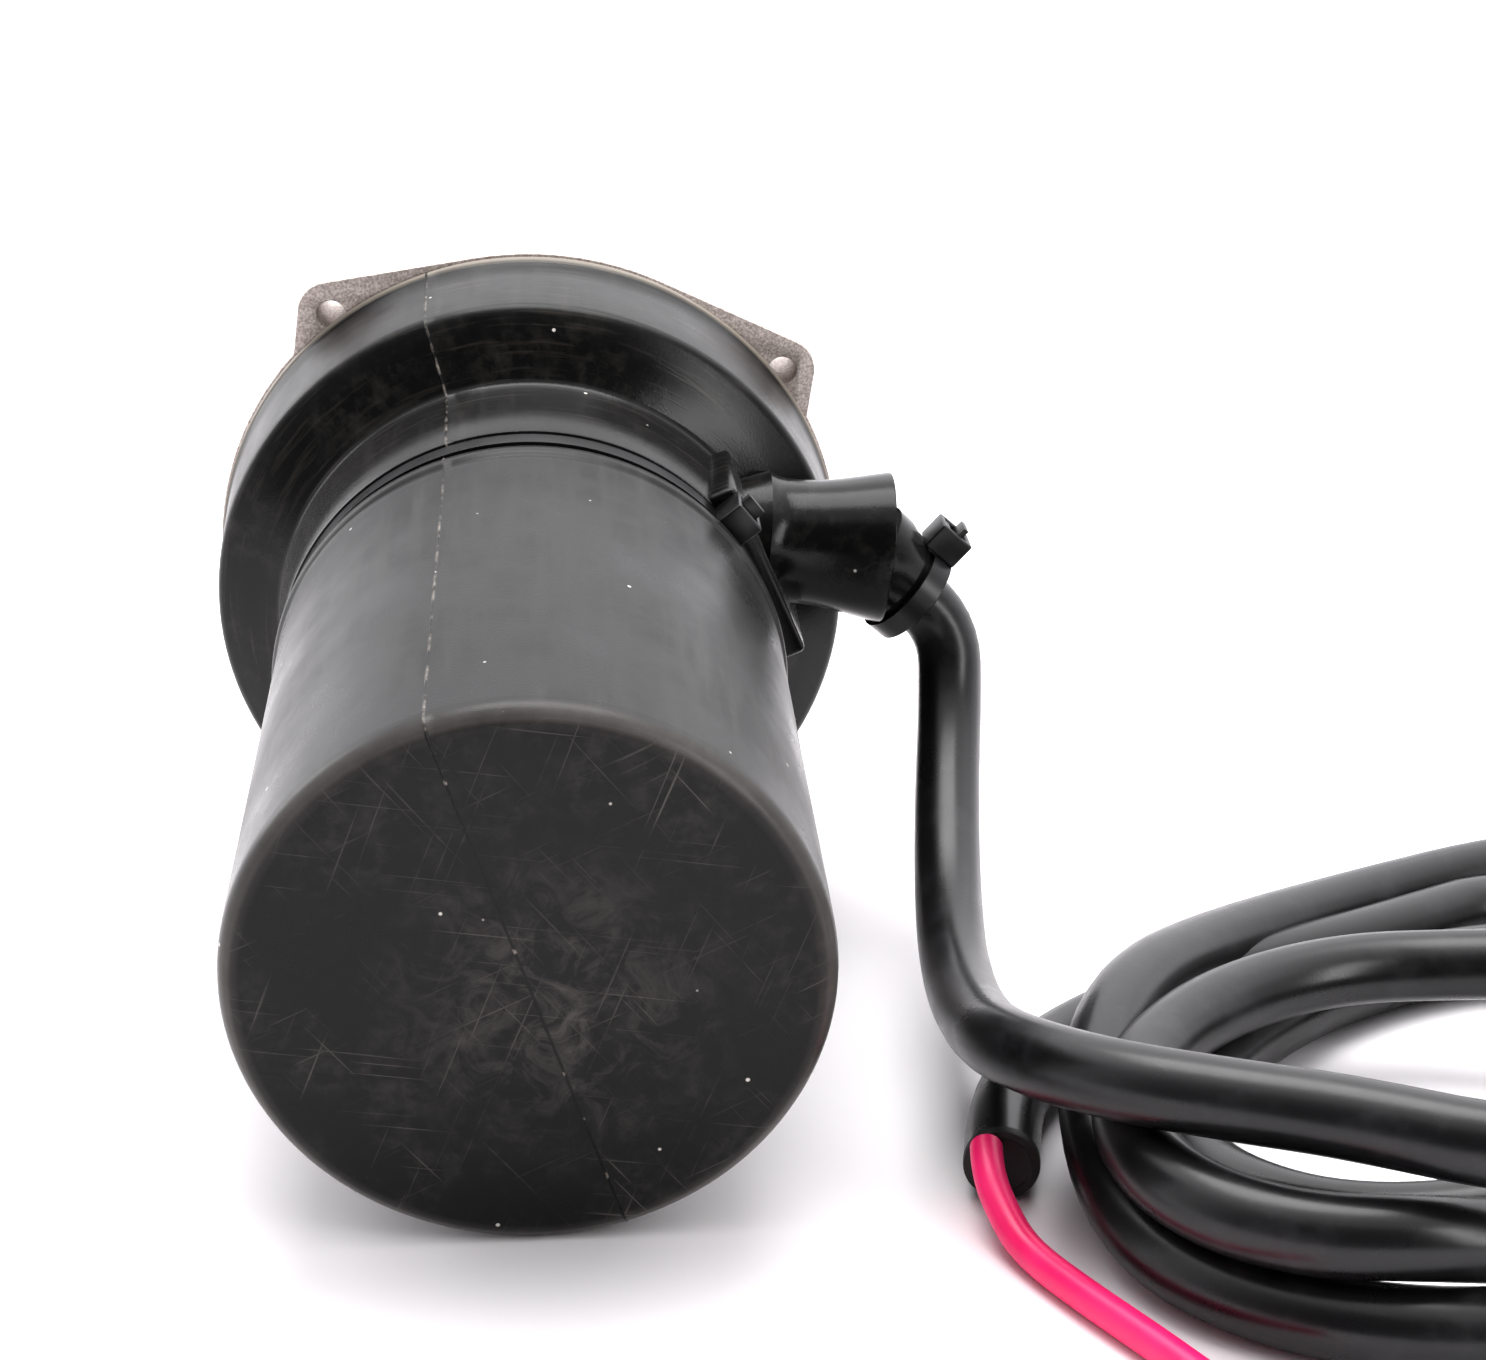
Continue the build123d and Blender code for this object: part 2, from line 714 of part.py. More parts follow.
with BuildPart() as spout_tie_head:
    head_reach = nipple_radius + tie_strap_thickness + tie_head_height / 2 - tie_head_sink
    with BuildSketch(tie_plane.offset(-tie_head_wall)):
        with Locations((0, -head_reach)):
            RectangleRounded(tie_head_length, tie_head_height + 2 * tie_head_sink, tie_corner_radius)
        Circle(nipple_radius + tie_strap_thickness, mode=Mode.SUBTRACT)
    extrude(amount=tie_strap_width + 2 * tie_head_wall)
keep(spout_tie_head, "spout_tie_head")

# ---------------------------------------------------------------- flying lead
# The lead hangs from the nipple towards the dome end, swings round in front of the motor
# and joins a loose coil of uneven turns. Its cut end comes out from under the coil.
lead_radius = lead_diameter / 2
lead_exit_run = 10
lead_route = [
    nipple_mouth.origin,
    nipple_mouth.offset(lead_exit_run).origin,
    (92, -70, -24),
    (89, -88, -38),
    (86, -112, -50),
    (83.5, -140, -55.5),
    (83, -172, -51),
    (85, -200, -42),
    (98, -220, -37.5),
    (118, -232, -36),
]
tube("cable_lead", lead_route, lead_diameter)

# Each turn of the coil lies within a band: centre, half lengths, angle and height.
outer_turns = ((206, -165), (122, 88), 38.5, 2.2 * lead_diameter)
inner_turns = ((167, -193), (83, 58), 42.5, 2.9 * lead_diameter)
turns_band = 36
with BuildPart() as cable_coil:
    for centre, (long_half, short_half), angle, height in (outer_turns, inner_turns):
        with BuildSketch(Plane.XY.offset(floor_height)):
            with Locations(centre):
                Ellipse(long_half, short_half, rotation=angle)
                Ellipse(long_half - turns_band, short_half - turns_band, rotation=angle, mode=Mode.SUBTRACT)
        extrude(amount=height)
keep(cable_coil, "cable_coil")

tail_floor = floor_height + lead_radius + floor_gap
tail_route = [
    (118, -141, tail_floor),
    (104, -152, tail_floor),
    (94, -165, tail_floor),
    (87, -181, tail_floor),
    (84, -199, tail_floor),
]
tube("cable_tail", tail_route, lead_diameter)

core_floor = floor_height + core_diameter / 2 + floor_gap
core_route = [
    (81, -199.6, -61.5),
    (80.2, -206, -62.5),
    (81.5, -212.5, -66),
    (84.5, -221.5, core_floor),
    (92, -236, core_floor),
    (101, -251, core_floor),
    (109, -265.5, core_floor),
    (115.5, -277, core_floor),
]
tube("core_red", core_route, core_diameter)
print(f"lie angle {degrees(lie):.3f}, floor {floor_height:.3f}")
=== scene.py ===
"""Looks for the booted outrunner motor: rubber boot, ties, casting, lead and studio.

Everything is built in metres in the row frame. Sizes written in millimetres are turned to
metres with MM. The bench frame stands the motor on its mounting plane: its x is across the
motor, its y is the motor's own up, and its z is the depth behind the mounting plane.
"""

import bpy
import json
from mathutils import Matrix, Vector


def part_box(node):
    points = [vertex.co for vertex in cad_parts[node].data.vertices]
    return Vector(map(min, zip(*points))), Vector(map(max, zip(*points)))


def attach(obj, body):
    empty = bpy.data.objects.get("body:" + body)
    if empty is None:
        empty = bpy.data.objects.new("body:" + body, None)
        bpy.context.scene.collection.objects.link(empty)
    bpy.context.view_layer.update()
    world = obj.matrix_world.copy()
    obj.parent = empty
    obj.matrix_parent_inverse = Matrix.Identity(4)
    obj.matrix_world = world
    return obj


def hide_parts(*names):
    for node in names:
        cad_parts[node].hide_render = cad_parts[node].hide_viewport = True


bl_info = {
    "name": "Booted outrunner motor",
    "version": (1, 0, 0),
    "blender": (4, 5, 0),
    "location": "3D View > Sidebar > Motor",
    "description": "Models the boot, ties, casting, lead and studio of an enclosed motor",
    "category": "Add Mesh",
}

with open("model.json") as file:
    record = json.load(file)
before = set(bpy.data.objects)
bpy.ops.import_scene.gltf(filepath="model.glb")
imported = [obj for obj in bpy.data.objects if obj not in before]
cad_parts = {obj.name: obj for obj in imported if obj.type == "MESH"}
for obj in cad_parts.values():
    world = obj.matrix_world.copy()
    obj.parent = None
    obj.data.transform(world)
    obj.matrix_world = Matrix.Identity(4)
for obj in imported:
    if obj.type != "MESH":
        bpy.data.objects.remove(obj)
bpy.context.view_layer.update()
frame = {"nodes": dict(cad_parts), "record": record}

import json
from math import cos, pi, radians, sin

import bpy
from bpy.props import FloatProperty, FloatVectorProperty, IntProperty, PointerProperty
from mathutils import Matrix, Vector

MM = 0.001
# The motor lies on its collar and its dome, so its axis leans by LIE above a floor at FLOOR.
LIE = radians(5.5155)
FLOOR = -72.861
# Turns object coordinates to the bench frame in a Mapping node.
BENCH_TURN = (-radians(90) - LIE, 0, 0)
# A turned profile that closes on its axis ends at this radius, and its last ring is merged.
AXIS = 0.01

# The bench frame's axes as columns: across, the motor's up, and depth towards the dome.
BENCH = Matrix(
    (
        (1, 0, 0, 0),
        (0, -sin(LIE), -cos(LIE), 0),
        (0, cos(LIE), -sin(LIE), 0),
        (0, 0, 0, 1),
    )
)


# ---------------------------------------------------------------- small helpers
def linear(hex_colour):
    """An sRGB hex colour such as #1c1b1a as linear red, green, blue and alpha."""
    parts = [int(hex_colour[i : i + 2], 16) / 255 for i in (1, 3, 5)]
    levels = [p / 12.92 if p <= 0.04045 else ((p + 0.055) / 1.055) ** 2.4 for p in parts]
    return (*levels, 1.0)


def add_node(tree, kind, inputs, **settings):
    """Adds a node, sets its settings, and sets or links its inputs."""
    node = tree.nodes.new(kind)
    for key, value in settings.items():
        setattr(node, key, value)
    for key, value in inputs.items():
        if isinstance(value, bpy.types.NodeSocket):
            tree.links.new(value, node.inputs[key])
        else:
            node.inputs[key].default_value = value
    return node


def clear_selection():
    if bpy.context.mode != "OBJECT":
        bpy.ops.object.mode_set(mode="OBJECT")
    bpy.ops.object.select_all(action="DESELECT")


def make_active(obj):
    clear_selection()
    obj.select_set(True)
    bpy.context.view_layer.objects.active = obj


def settle(obj, matrix):
    """Puts an object at its place and moves that place into its mesh."""
    make_active(obj)
    obj.matrix_world = matrix
    bpy.ops.object.transform_apply(location=True, rotation=True, scale=True)


def branch(across, up, depth, droop):
    """A frame on the bench whose z points sideways out of the motor and down by droop."""
    lean = radians(droop)
    local = Matrix(
        (
            (sin(lean), 0, cos(lean), across * MM),
            (cos(lean), 0, -sin(lean), up * MM),
            (0, 1, 0, depth * MM),
            (0, 0, 0, 1),
        )
    )
    return BENCH @ local


def turned(name, stations, sides):
    """A closed turned shape about z from (radius, height) stations in millimetres."""
    clear_selection()
    radius, height = stations[0]
    bpy.ops.mesh.primitive_circle_add(
        vertices=sides, radius=radius * MM, location=(0, 0, height * MM)
    )
    obj = bpy.context.object
    obj.name = name
    bpy.ops.object.transform_apply(location=True, rotation=True, scale=True)
    bpy.ops.object.mode_set(mode="EDIT")
    bpy.ops.mesh.select_all(action="SELECT")
    for (r0, h0), (r1, h1) in zip(stations, stations[1:]):
        bpy.ops.mesh.extrude_region_move(TRANSFORM_OT_translate={"value": (0, 0, (h1 - h0) * MM)})
        grow = r1 / r0
        bpy.ops.transform.resize(value=(grow, grow, 1), center_override=(0, 0, h1 * MM))
    bpy.ops.mesh.select_all(action="SELECT")
    bpy.ops.mesh.remove_doubles(threshold=0.02 * MM)
    bpy.ops.mesh.normals_make_consistent(inside=False)
    bpy.ops.object.mode_set(mode="OBJECT")
    return obj


def smooth(obj, degrees=35):
    make_active(obj)
    bpy.ops.object.shade_smooth_by_angle(angle=radians(degrees))


def bevel_edges(obj, width, segments=2, degrees=30):
    """Rounds an object's sharp edges and applies the result."""
    make_active(obj)
    rounding = obj.modifiers.new("rounding", "BEVEL")
    rounding.width = width * MM
    rounding.segments = segments
    rounding.limit_method = "ANGLE"
    rounding.angle_limit = radians(degrees)
    bpy.ops.object.modifier_apply(modifier="rounding")


def box(name, size, centre):
    """A block of (x, y, z) millimetres about a centre in millimetres."""
    clear_selection()
    bpy.ops.mesh.primitive_cube_add(size=1)
    obj = bpy.context.object
    obj.name = name
    obj.scale = [s * MM for s in size]
    obj.location = [c * MM for c in centre]
    bpy.ops.object.transform_apply(location=True, rotation=True, scale=True)
    return obj


def pick_faces(obj, test):
    """Selects, in object mode, only the faces whose centre and normal pass a test."""
    for vertex in obj.data.vertices:
        vertex.select = False
    for edge in obj.data.edges:
        edge.select = False
    for face in obj.data.polygons:
        face.select = test(face.center / MM, face.normal)


def join(name, pieces):
    make_active(pieces[0])
    for piece in pieces:
        piece.select_set(True)
    bpy.ops.object.join()
    obj = bpy.context.object
    obj.name = name
    return obj


def finish_piece(obj, body, material):
    """Gives a piece its finish and the body that it rides on."""
    obj.data.materials.clear()
    obj.data.materials.append(material)
    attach(obj, body)


def smooth_cord(name, points, radius):
    """One open spline through control points in millimetres, as a round cord."""
    curve = bpy.data.curves.new(name, "CURVE")
    curve.dimensions = "3D"
    spline = curve.splines.new("NURBS")
    spline.points.add(len(points) - 1)
    for control, at in zip(spline.points, points):
        control.co = (at[0] * MM, at[1] * MM, at[2] * MM, 1)
    spline.order_u = 3
    spline.use_endpoint_u = True
    spline.resolution_u = 6
    curve.bevel_depth = radius
    curve.bevel_resolution = 8
    curve.use_fill_caps = True
    obj = bpy.data.objects.new(name, curve)
    bpy.context.scene.collection.objects.link(obj)
    return obj


def cord_length(obj):
    """The length of a cord's own line, in metres."""
    bare = obj.data.copy()
    bare.bevel_depth = 0
    probe = bpy.data.objects.new("probe", bare)
    line = bpy.data.meshes.new_from_object(probe)
    ends = [v.co for v in line.vertices]
    total = sum((b - a).length for a, b in zip(ends, ends[1:]))
    bpy.data.objects.remove(probe)
    bpy.data.meshes.remove(line)
    bpy.data.curves.remove(bare)
    return total


# ---------------------------------------------------------------- materials
# The sockets of a Mix node that blends colours: its factor, its two colours and its result.
MIX_BY, MIX_FIRST, MIX_SECOND, MIX_RESULT = 0, 6, 7, 2


def new_material(name):
    """A material with one shader, and its object coordinates."""
    material = bpy.data.materials.new(name)
    material.use_nodes = True
    tree = material.node_tree
    tree.nodes.clear()
    shader = add_node(tree, "ShaderNodeBsdfPrincipled", {})
    add_node(tree, "ShaderNodeOutputMaterial", {"Surface": shader.outputs[0]})
    coords = add_node(tree, "ShaderNodeTexCoord", {})
    return material, tree, shader, coords.outputs["Object"]


def boot_rubber(settings):
    """Black EPDM rubber, compression moulded: satin, greying where it is rubbed, with a thin
    flash line where the two mould halves met and bloom and fine scratches on the flat dome."""
    material, tree, shader, place = new_material("EPDM rubber, moulded")
    bench = add_node(
        tree, "ShaderNodeMapping", {"Vector": place, "Rotation": BENCH_TURN}
    ).outputs[0]
    axes = add_node(tree, "ShaderNodeSeparateXYZ", {"Vector": bench})
    depth = axes.outputs["Z"]
    # 1 on the dome's flat face and 0 elsewhere.
    face = add_node(
        tree, "ShaderNodeMapRange", {"Value": depth, "From Min": 0.2122, "From Max": 0.2128}
    ).outputs[0]
    # Cloudy rubbing, 20 to 40 mm across.
    cloud = add_node(
        tree,
        "ShaderNodeTexNoise",
        {"Vector": bench, "Scale": 38.0, "Detail": 6.0, "Roughness": 0.62},
    ).outputs[0]
    # Long fine scratches in four directions, 0.3 mm wide and 10 to 40 mm long.
    scratches = None
    for turn, across, along, cut in (
        (-22, 1500, 30, 0.68),
        (38, 1700, 34, 0.69),
        (-64, 1600, 40, 0.7),
        (81, 1900, 26, 0.685),
    ):
        lines = add_node(
            tree,
            "ShaderNodeMapping",
            {"Vector": bench, "Rotation": (0, 0, radians(turn)), "Scale": (1 / across, 1 / along, 1)},
            vector_type="TEXTURE",
        )
        streak = add_node(
            tree,
            "ShaderNodeTexNoise",
            {"Vector": lines.outputs[0], "Scale": 1.0, "Detail": 1.5, "Roughness": 0.4},
        )
        line = add_node(
            tree,
            "ShaderNodeMapRange",
            {"Value": streak.outputs[0], "From Min": cut, "From Max": cut + 0.05},
        ).outputs[0]
        if scratches is None:
            scratches = line
        else:
            scratches = add_node(
                tree, "ShaderNodeMath", {0: scratches, 1: line}, operation="MAXIMUM"
            ).outputs[0]
    worn = add_node(
        tree,
        "ShaderNodeMapRange",
        {"Value": cloud, "From Min": 0.42, "From Max": 0.68, "To Max": 1.0},
    ).outputs[0]
    for limit in (worn, face):
        scratches = add_node(
            tree, "ShaderNodeMath", {0: scratches, 1: limit}, operation="MULTIPLY"
        ).outputs[0]
    # Rubbing round the body, drawn out along its length on the sides.
    drawn = add_node(
        tree, "ShaderNodeMapping", {"Vector": bench, "Scale": (260, 260, 26)}
    ).outputs[0]
    rub = add_node(
        tree, "ShaderNodeTexNoise", {"Vector": drawn, "Scale": 1.0, "Detail": 4.0, "Roughness": 0.6}
    ).outputs[0]
    rub = add_node(
        tree,
        "ShaderNodeMapRange",
        {"Value": rub, "From Min": 0.45, "From Max": 0.75, "To Max": 0.9},
    ).outputs[0]
    rub = add_node(tree, "ShaderNodeMath", {0: rub, 1: worn}, operation="MULTIPLY").outputs[0]
    # Chalky bloom near the middle of the dome.
    flat = add_node(
        tree, "ShaderNodeCombineXYZ", {0: axes.outputs["X"], 1: axes.outputs["Y"]}
    ).outputs[0]
    off_centre = add_node(
        tree, "ShaderNodeVectorMath", {0: flat, 1: (0.004, -0.004, 0)}, operation="DISTANCE"
    ).outputs["Value"]
    near = add_node(
        tree,
        "ShaderNodeMapRange",
        {"Value": off_centre, "From Min": 0.004, "From Max": 0.034, "To Min": 1.0, "To Max": 0.0},
    ).outputs[0]
    wisps = add_node(
        tree,
        "ShaderNodeTexNoise",
        {"Vector": bench, "Scale": 120.0, "Detail": 8.0, "Roughness": 0.7, "Distortion": 1.2},
    ).outputs[0]
    wisps = add_node(
        tree, "ShaderNodeMapRange", {"Value": wisps, "From Min": 0.46, "From Max": 0.75}
    ).outputs[0]
    bloom = add_node(tree, "ShaderNodeMath", {0: near, 1: wisps}, operation="MULTIPLY").outputs[0]
    bloom = add_node(tree, "ShaderNodeMath", {0: bloom, 1: face}, operation="MULTIPLY").outputs[0]
    wide = add_node(
        tree,
        "ShaderNodeMapRange",
        {"Value": cloud, "From Min": 0.35, "From Max": 0.75, "To Max": 0.55},
    ).outputs[0]
    # Dust specks about 0.4 mm across, some 15 mm apart.
    cells = add_node(tree, "ShaderNodeTexVoronoi", {"Vector": bench, "Scale": 95.0}).outputs["Distance"]
    specks = add_node(
        tree,
        "ShaderNodeMapRange",
        {"Value": cells, "From Min": 0.028, "From Max": 0.045, "To Min": 1.0, "To Max": 0.0},
    ).outputs[0]
    # The flash line: distance from the mould's parting plane.
    parting = add_node(
        tree,
        "ShaderNodeVectorMath",
        {0: bench, 1: (-sin(settings.seam_angle), cos(settings.seam_angle), 0)},
        operation="DOT_PRODUCT",
    ).outputs["Value"]
    parting = add_node(tree, "ShaderNodeMath", {0: parting}, operation="ABSOLUTE").outputs[0]
    line = add_node(
        tree,
        "ShaderNodeMapRange",
        {"Value": parting, "From Min": 0.00016, "From Max": 0.0004, "To Min": 1.0, "To Max": 0.0},
    ).outputs[0]
    crumbs = add_node(
        tree, "ShaderNodeTexNoise", {"Vector": bench, "Scale": 420.0, "Detail": 3.0}
    ).outputs[0]
    crumbs_body = add_node(
        tree,
        "ShaderNodeMapRange",
        {"Value": crumbs, "From Min": 0.46, "From Max": 0.7, "To Max": 0.8},
    ).outputs[0]
    crumbs_face = add_node(
        tree,
        "ShaderNodeMapRange",
        {"Value": crumbs, "From Min": 0.62, "From Max": 0.7, "To Max": 0.75},
    ).outputs[0]
    crumb = add_node(
        tree, "ShaderNodeMix", {MIX_BY: face, 2: crumbs_body, 3: crumbs_face}, data_type="FLOAT"
    ).outputs[0]
    pale_line = add_node(
        tree, "ShaderNodeMath", {0: line, 1: crumb}, operation="MULTIPLY"
    ).outputs[0]
    # Handling marks run round the collar and the band, 0.7 mm apart.
    collar = add_node(
        tree,
        "ShaderNodeMapRange",
        {"Value": depth, "From Min": 0.083, "From Max": 0.084, "To Min": 1.0, "To Max": 0.0},
    ).outputs[0]
    rings = add_node(
        tree, "ShaderNodeMapping", {"Vector": bench, "Scale": (45, 45, 1400)}
    ).outputs[0]
    rings = add_node(
        tree, "ShaderNodeTexNoise", {"Vector": rings, "Scale": 1.0, "Detail": 3.0, "Roughness": 0.6}
    ).outputs[0]
    rings = add_node(
        tree,
        "ShaderNodeMapRange",
        {"Value": rings, "From Min": 0.54, "From Max": 0.74, "To Max": 0.4},
    ).outputs[0]
    rings = add_node(tree, "ShaderNodeMath", {0: rings, 1: collar}, operation="MULTIPLY").outputs[0]
    # The spout, out past the collar, has none.
    beside = add_node(
        tree,
        "ShaderNodeMapRange",
        {"Value": axes.outputs["X"], "From Min": 0.046, "From Max": 0.05, "To Min": 1.0, "To Max": 0.0},
    ).outputs[0]
    rings = add_node(tree, "ShaderNodeMath", {0: rings, 1: beside}, operation="MULTIPLY").outputs[0]
    # The lip that grips the casting is rubbed pale.
    lip = add_node(
        tree,
        "ShaderNodeMapRange",
        {"Value": depth, "From Min": 0.0213, "From Max": 0.0222, "To Min": 0.75, "To Max": 0.0},
    ).outputs[0]
    # The dome's rounded edge is painted lighter in cloudy patches: a painted highlight standing in for
    # the overhead light on the rounding.
    edge = add_node(
        tree, "ShaderNodeMapRange", {"Value": depth, "From Min": 0.2085, "From Max": 0.2118}
    ).outputs[0]
    inside_edge = add_node(
        tree,
        "ShaderNodeMapRange",
        {"Value": depth, "From Min": 0.2124, "From Max": 0.213, "To Min": 1.0, "To Max": 0.0},
    ).outputs[0]
    edge = add_node(
        tree, "ShaderNodeMath", {0: edge, 1: inside_edge}, operation="MULTIPLY"
    ).outputs[0]
    edge = add_node(tree, "ShaderNodeMath", {0: edge, 1: cloud}, operation="MULTIPLY").outputs[0]
    dark_line = add_node(
        tree, "ShaderNodeMath", {0: line, 1: 0.85}, operation="MULTIPLY"
    ).outputs[0]
    # Colour, from the deepest layer up.
    colour = (*settings.rubber, 1.0)
    for factor, shade in (
        (wide, "#161514"),
        (rub, "#3a3835"),
        (rings, "#504a44"),
        (lip, "#9a9186"),
        (bloom, "#55514e"),
        (scratches, "#56524e"),
        # Painted highlight on the dome's rounded edge.
        (edge, "#6a6663"),
        (dark_line, "#060606"),
        (pale_line, "#928a82"),
        (specks, "#cfcac4"),
    ):
        colour = add_node(
            tree,
            "ShaderNodeMix",
            {MIX_BY: factor, MIX_FIRST: colour, MIX_SECOND: linear(shade)},
            data_type="RGBA",
        ).outputs[MIX_RESULT]
    rough = add_node(
        tree,
        "ShaderNodeMapRange",
        {"Value": cloud, "From Min": 0.32, "From Max": 0.68, "To Min": 0.25, "To Max": 0.42},
    ).outputs[0]
    # Fine moulded grain, 0.3 mm, under the scratches and the raised flash.
    grain = add_node(
        tree, "ShaderNodeTexNoise", {"Vector": bench, "Scale": 2600.0, "Detail": 2.0}
    ).outputs[0]
    relief = grain
    for mark in (scratches, rub, rings):
        relief = add_node(tree, "ShaderNodeMath", {0: relief, 1: mark}, operation="ADD").outputs[0]
    bump = add_node(
        tree, "ShaderNodeBump", {"Height": relief, "Strength": 0.35, "Distance": 0.00008}
    ).outputs[0]
    # The band was pressed smoother by its tie than the rest.
    band = add_node(
        tree, "ShaderNodeMapRange", {"Value": depth, "From Min": 0.0505, "From Max": 0.054}
    ).outputs[0]
    band = add_node(tree, "ShaderNodeMath", {0: band, 1: collar}, operation="MULTIPLY").outputs[0]
    rough = add_node(
        tree, "ShaderNodeMix", {MIX_BY: band, 2: rough, 3: 0.17}, data_type="FLOAT"
    ).outputs[0]
    tree.links.new(colour, shader.inputs["Base Color"])
    tree.links.new(rough, shader.inputs["Roughness"])
    tree.links.new(bump, shader.inputs["Normal"])
    shader.inputs["IOR"].default_value = 1.38
    shader.inputs["Specular IOR Level"].default_value = 0.42
    # Rubbed rubber keeps a dusty bloom that shows at grazing angles.
    shader.inputs["Sheen Weight"].default_value = 0.07
    shader.inputs["Sheen Roughness"].default_value = 0.35
    return material


def link_surface(tree, shader, shade, colours, cloud, dulling, height, relief):
    """Links a shader's colour, roughness and relief. The shade blends two colours, the cloud from
    0.3 to a top value dulls it between two roughnesses, and the height has a strength and a depth."""
    colour = add_node(
        tree,
        "ShaderNodeMix",
        {MIX_BY: shade, MIX_FIRST: colours[0], MIX_SECOND: colours[1]},
        data_type="RGBA",
    )
    top, smoothest, dullest = dulling
    rough = add_node(
        tree,
        "ShaderNodeMapRange",
        {"Value": cloud, "From Min": 0.3, "From Max": top, "To Min": smoothest, "To Max": dullest},
    )
    strength, depth = relief
    bump = add_node(
        tree, "ShaderNodeBump", {"Height": height, "Strength": strength, "Distance": depth}
    )
    tree.links.new(colour.outputs[MIX_RESULT], shader.inputs["Base Color"])
    tree.links.new(rough.outputs[0], shader.inputs["Roughness"])
    tree.links.new(bump.outputs[0], shader.inputs["Normal"])


def plain_polymer(name, dark, light, rough, grain, relief, ior=1.5):
    """A moulded or extruded polymer: two close shades in a grain of so many millimetres."""
    material, tree, shader, place = new_material(name)
    fine = add_node(
        tree,
        "ShaderNodeTexNoise",
        {"Vector": place, "Scale": 1000 / grain, "Detail": 4.0, "Roughness": 0.6},
    ).outputs[0]
    cloud = add_node(
        tree, "ShaderNodeTexNoise", {"Vector": place, "Scale": 60.0, "Detail": 5.0}
    ).outputs[0]
    shade = add_node(
        tree, "ShaderNodeMapRange", {"Value": cloud, "From Min": 0.35, "From Max": 0.7}
    ).outputs[0]
    dulling = (0.7, rough - 0.05, rough + 0.07)
    colours = (linear(dark), linear(light))
    link_surface(tree, shader, shade, colours, cloud, dulling, fine, (relief, 0.00006))
    shader.inputs["IOR"].default_value = ior
    return material


def worked_metal(name, dark, light, rough, grain, relief, round_shaft=False, metallic=1.0):
    """A metal with a cast, ground, plated or turned surface, its marks so many millimetres apart.
    On a turned part the marks run round the shaft, so the pattern is drawn out across depth."""
    material, tree, shader, place = new_material(name)
    bench = add_node(
        tree, "ShaderNodeMapping", {"Vector": place, "Rotation": BENCH_TURN}
    ).outputs[0]
    pitch = 1000 / grain
    if round_shaft:
        stretch = (pitch * 0.02, pitch * 0.02, pitch)
    else:
        stretch = (pitch, pitch, pitch)
    marks = add_node(tree, "ShaderNodeMapping", {"Vector": bench, "Scale": stretch}).outputs[0]
    fine = add_node(
        tree,
        "ShaderNodeTexNoise",
        {"Vector": marks, "Scale": 1.0, "Detail": 4.0, "Roughness": 0.65},
    ).outputs[0]
    shade = add_node(
        tree, "ShaderNodeMapRange", {"Value": fine, "From Min": 0.38, "From Max": 0.64}
    ).outputs[0]
    cloud = add_node(
        tree, "ShaderNodeTexNoise", {"Vector": bench, "Scale": 70.0, "Detail": 4.0}
    ).outputs[0]
    dulling = (0.7, rough - 0.05, rough + 0.08)
    colours = (linear(dark), linear(light))
    link_surface(tree, shader, shade, colours, cloud, dulling, fine, (relief, 0.0001))
    shader.inputs["Metallic"].default_value = metallic
    return material


# Thickness in millimetres of one punched sheet of the stack.
SHEET = 0.5


def stacked_steel(name):
    """Electrical steel punched in 0.5 mm sheets: a fine step at each sheet's edge."""
    material, tree, shader, place = new_material(name)
    bench = add_node(
        tree, "ShaderNodeMapping", {"Vector": place, "Rotation": BENCH_TURN}
    ).outputs[0]
    sheets = add_node(
        tree,
        "ShaderNodeTexWave",
        {"Vector": bench, "Scale": 1000 / SHEET / 6.2832 * 2, "Distortion": 0.3, "Detail": 1.0},
        bands_direction="Z",
    ).outputs[0]
    shade = add_node(
        tree, "ShaderNodeMapRange", {"Value": sheets, "To Min": 0.2, "To Max": 1.0}
    ).outputs[0]
    colour = add_node(
        tree,
        "ShaderNodeMix",
        {MIX_BY: shade, MIX_FIRST: linear("#3c3e42"), MIX_SECOND: linear("#8a8d92")},
        data_type="RGBA",
    ).outputs[MIX_RESULT]
    tree.links.new(colour, shader.inputs["Base Color"])
    bump = add_node(
        tree, "ShaderNodeBump", {"Height": sheets, "Strength": 0.5, "Distance": 0.0001}
    ).outputs[0]
    tree.links.new(bump, shader.inputs["Normal"])
    shader.inputs["Metallic"].default_value = 0.9
    shader.inputs["Roughness"].default_value = 0.45
    return material


def extruded_rubber(settings):
    """Chloroprene cable sheath, extruded: semi-gloss black with dull scuffs where it was coiled."""
    material, tree, shader, place = new_material("Chloroprene sheath, extruded")
    cloud = add_node(
        tree,
        "ShaderNodeTexNoise",
        {"Vector": place, "Scale": 55.0, "Detail": 6.0, "Roughness": 0.65},
    ).outputs[0]
    scuff = add_node(
        tree,
        "ShaderNodeMapRange",
        {"Value": cloud, "From Min": 0.52, "From Max": 0.78, "To Max": 0.7},
    ).outputs[0]
    # Extrusion leaves a 0.4 mm orange-peel.
    peel = add_node(
        tree, "ShaderNodeTexNoise", {"Vector": place, "Scale": 900.0, "Detail": 2.0}
    ).outputs[0]
    colours = ((*settings.sheath, 1.0), linear("#3b3a3c"))
    link_surface(tree, shader, scuff, colours, cloud, (0.75, 0.24, 0.38), peel, (0.12, 0.0001))
    shader.inputs["IOR"].default_value = 1.52
    return material


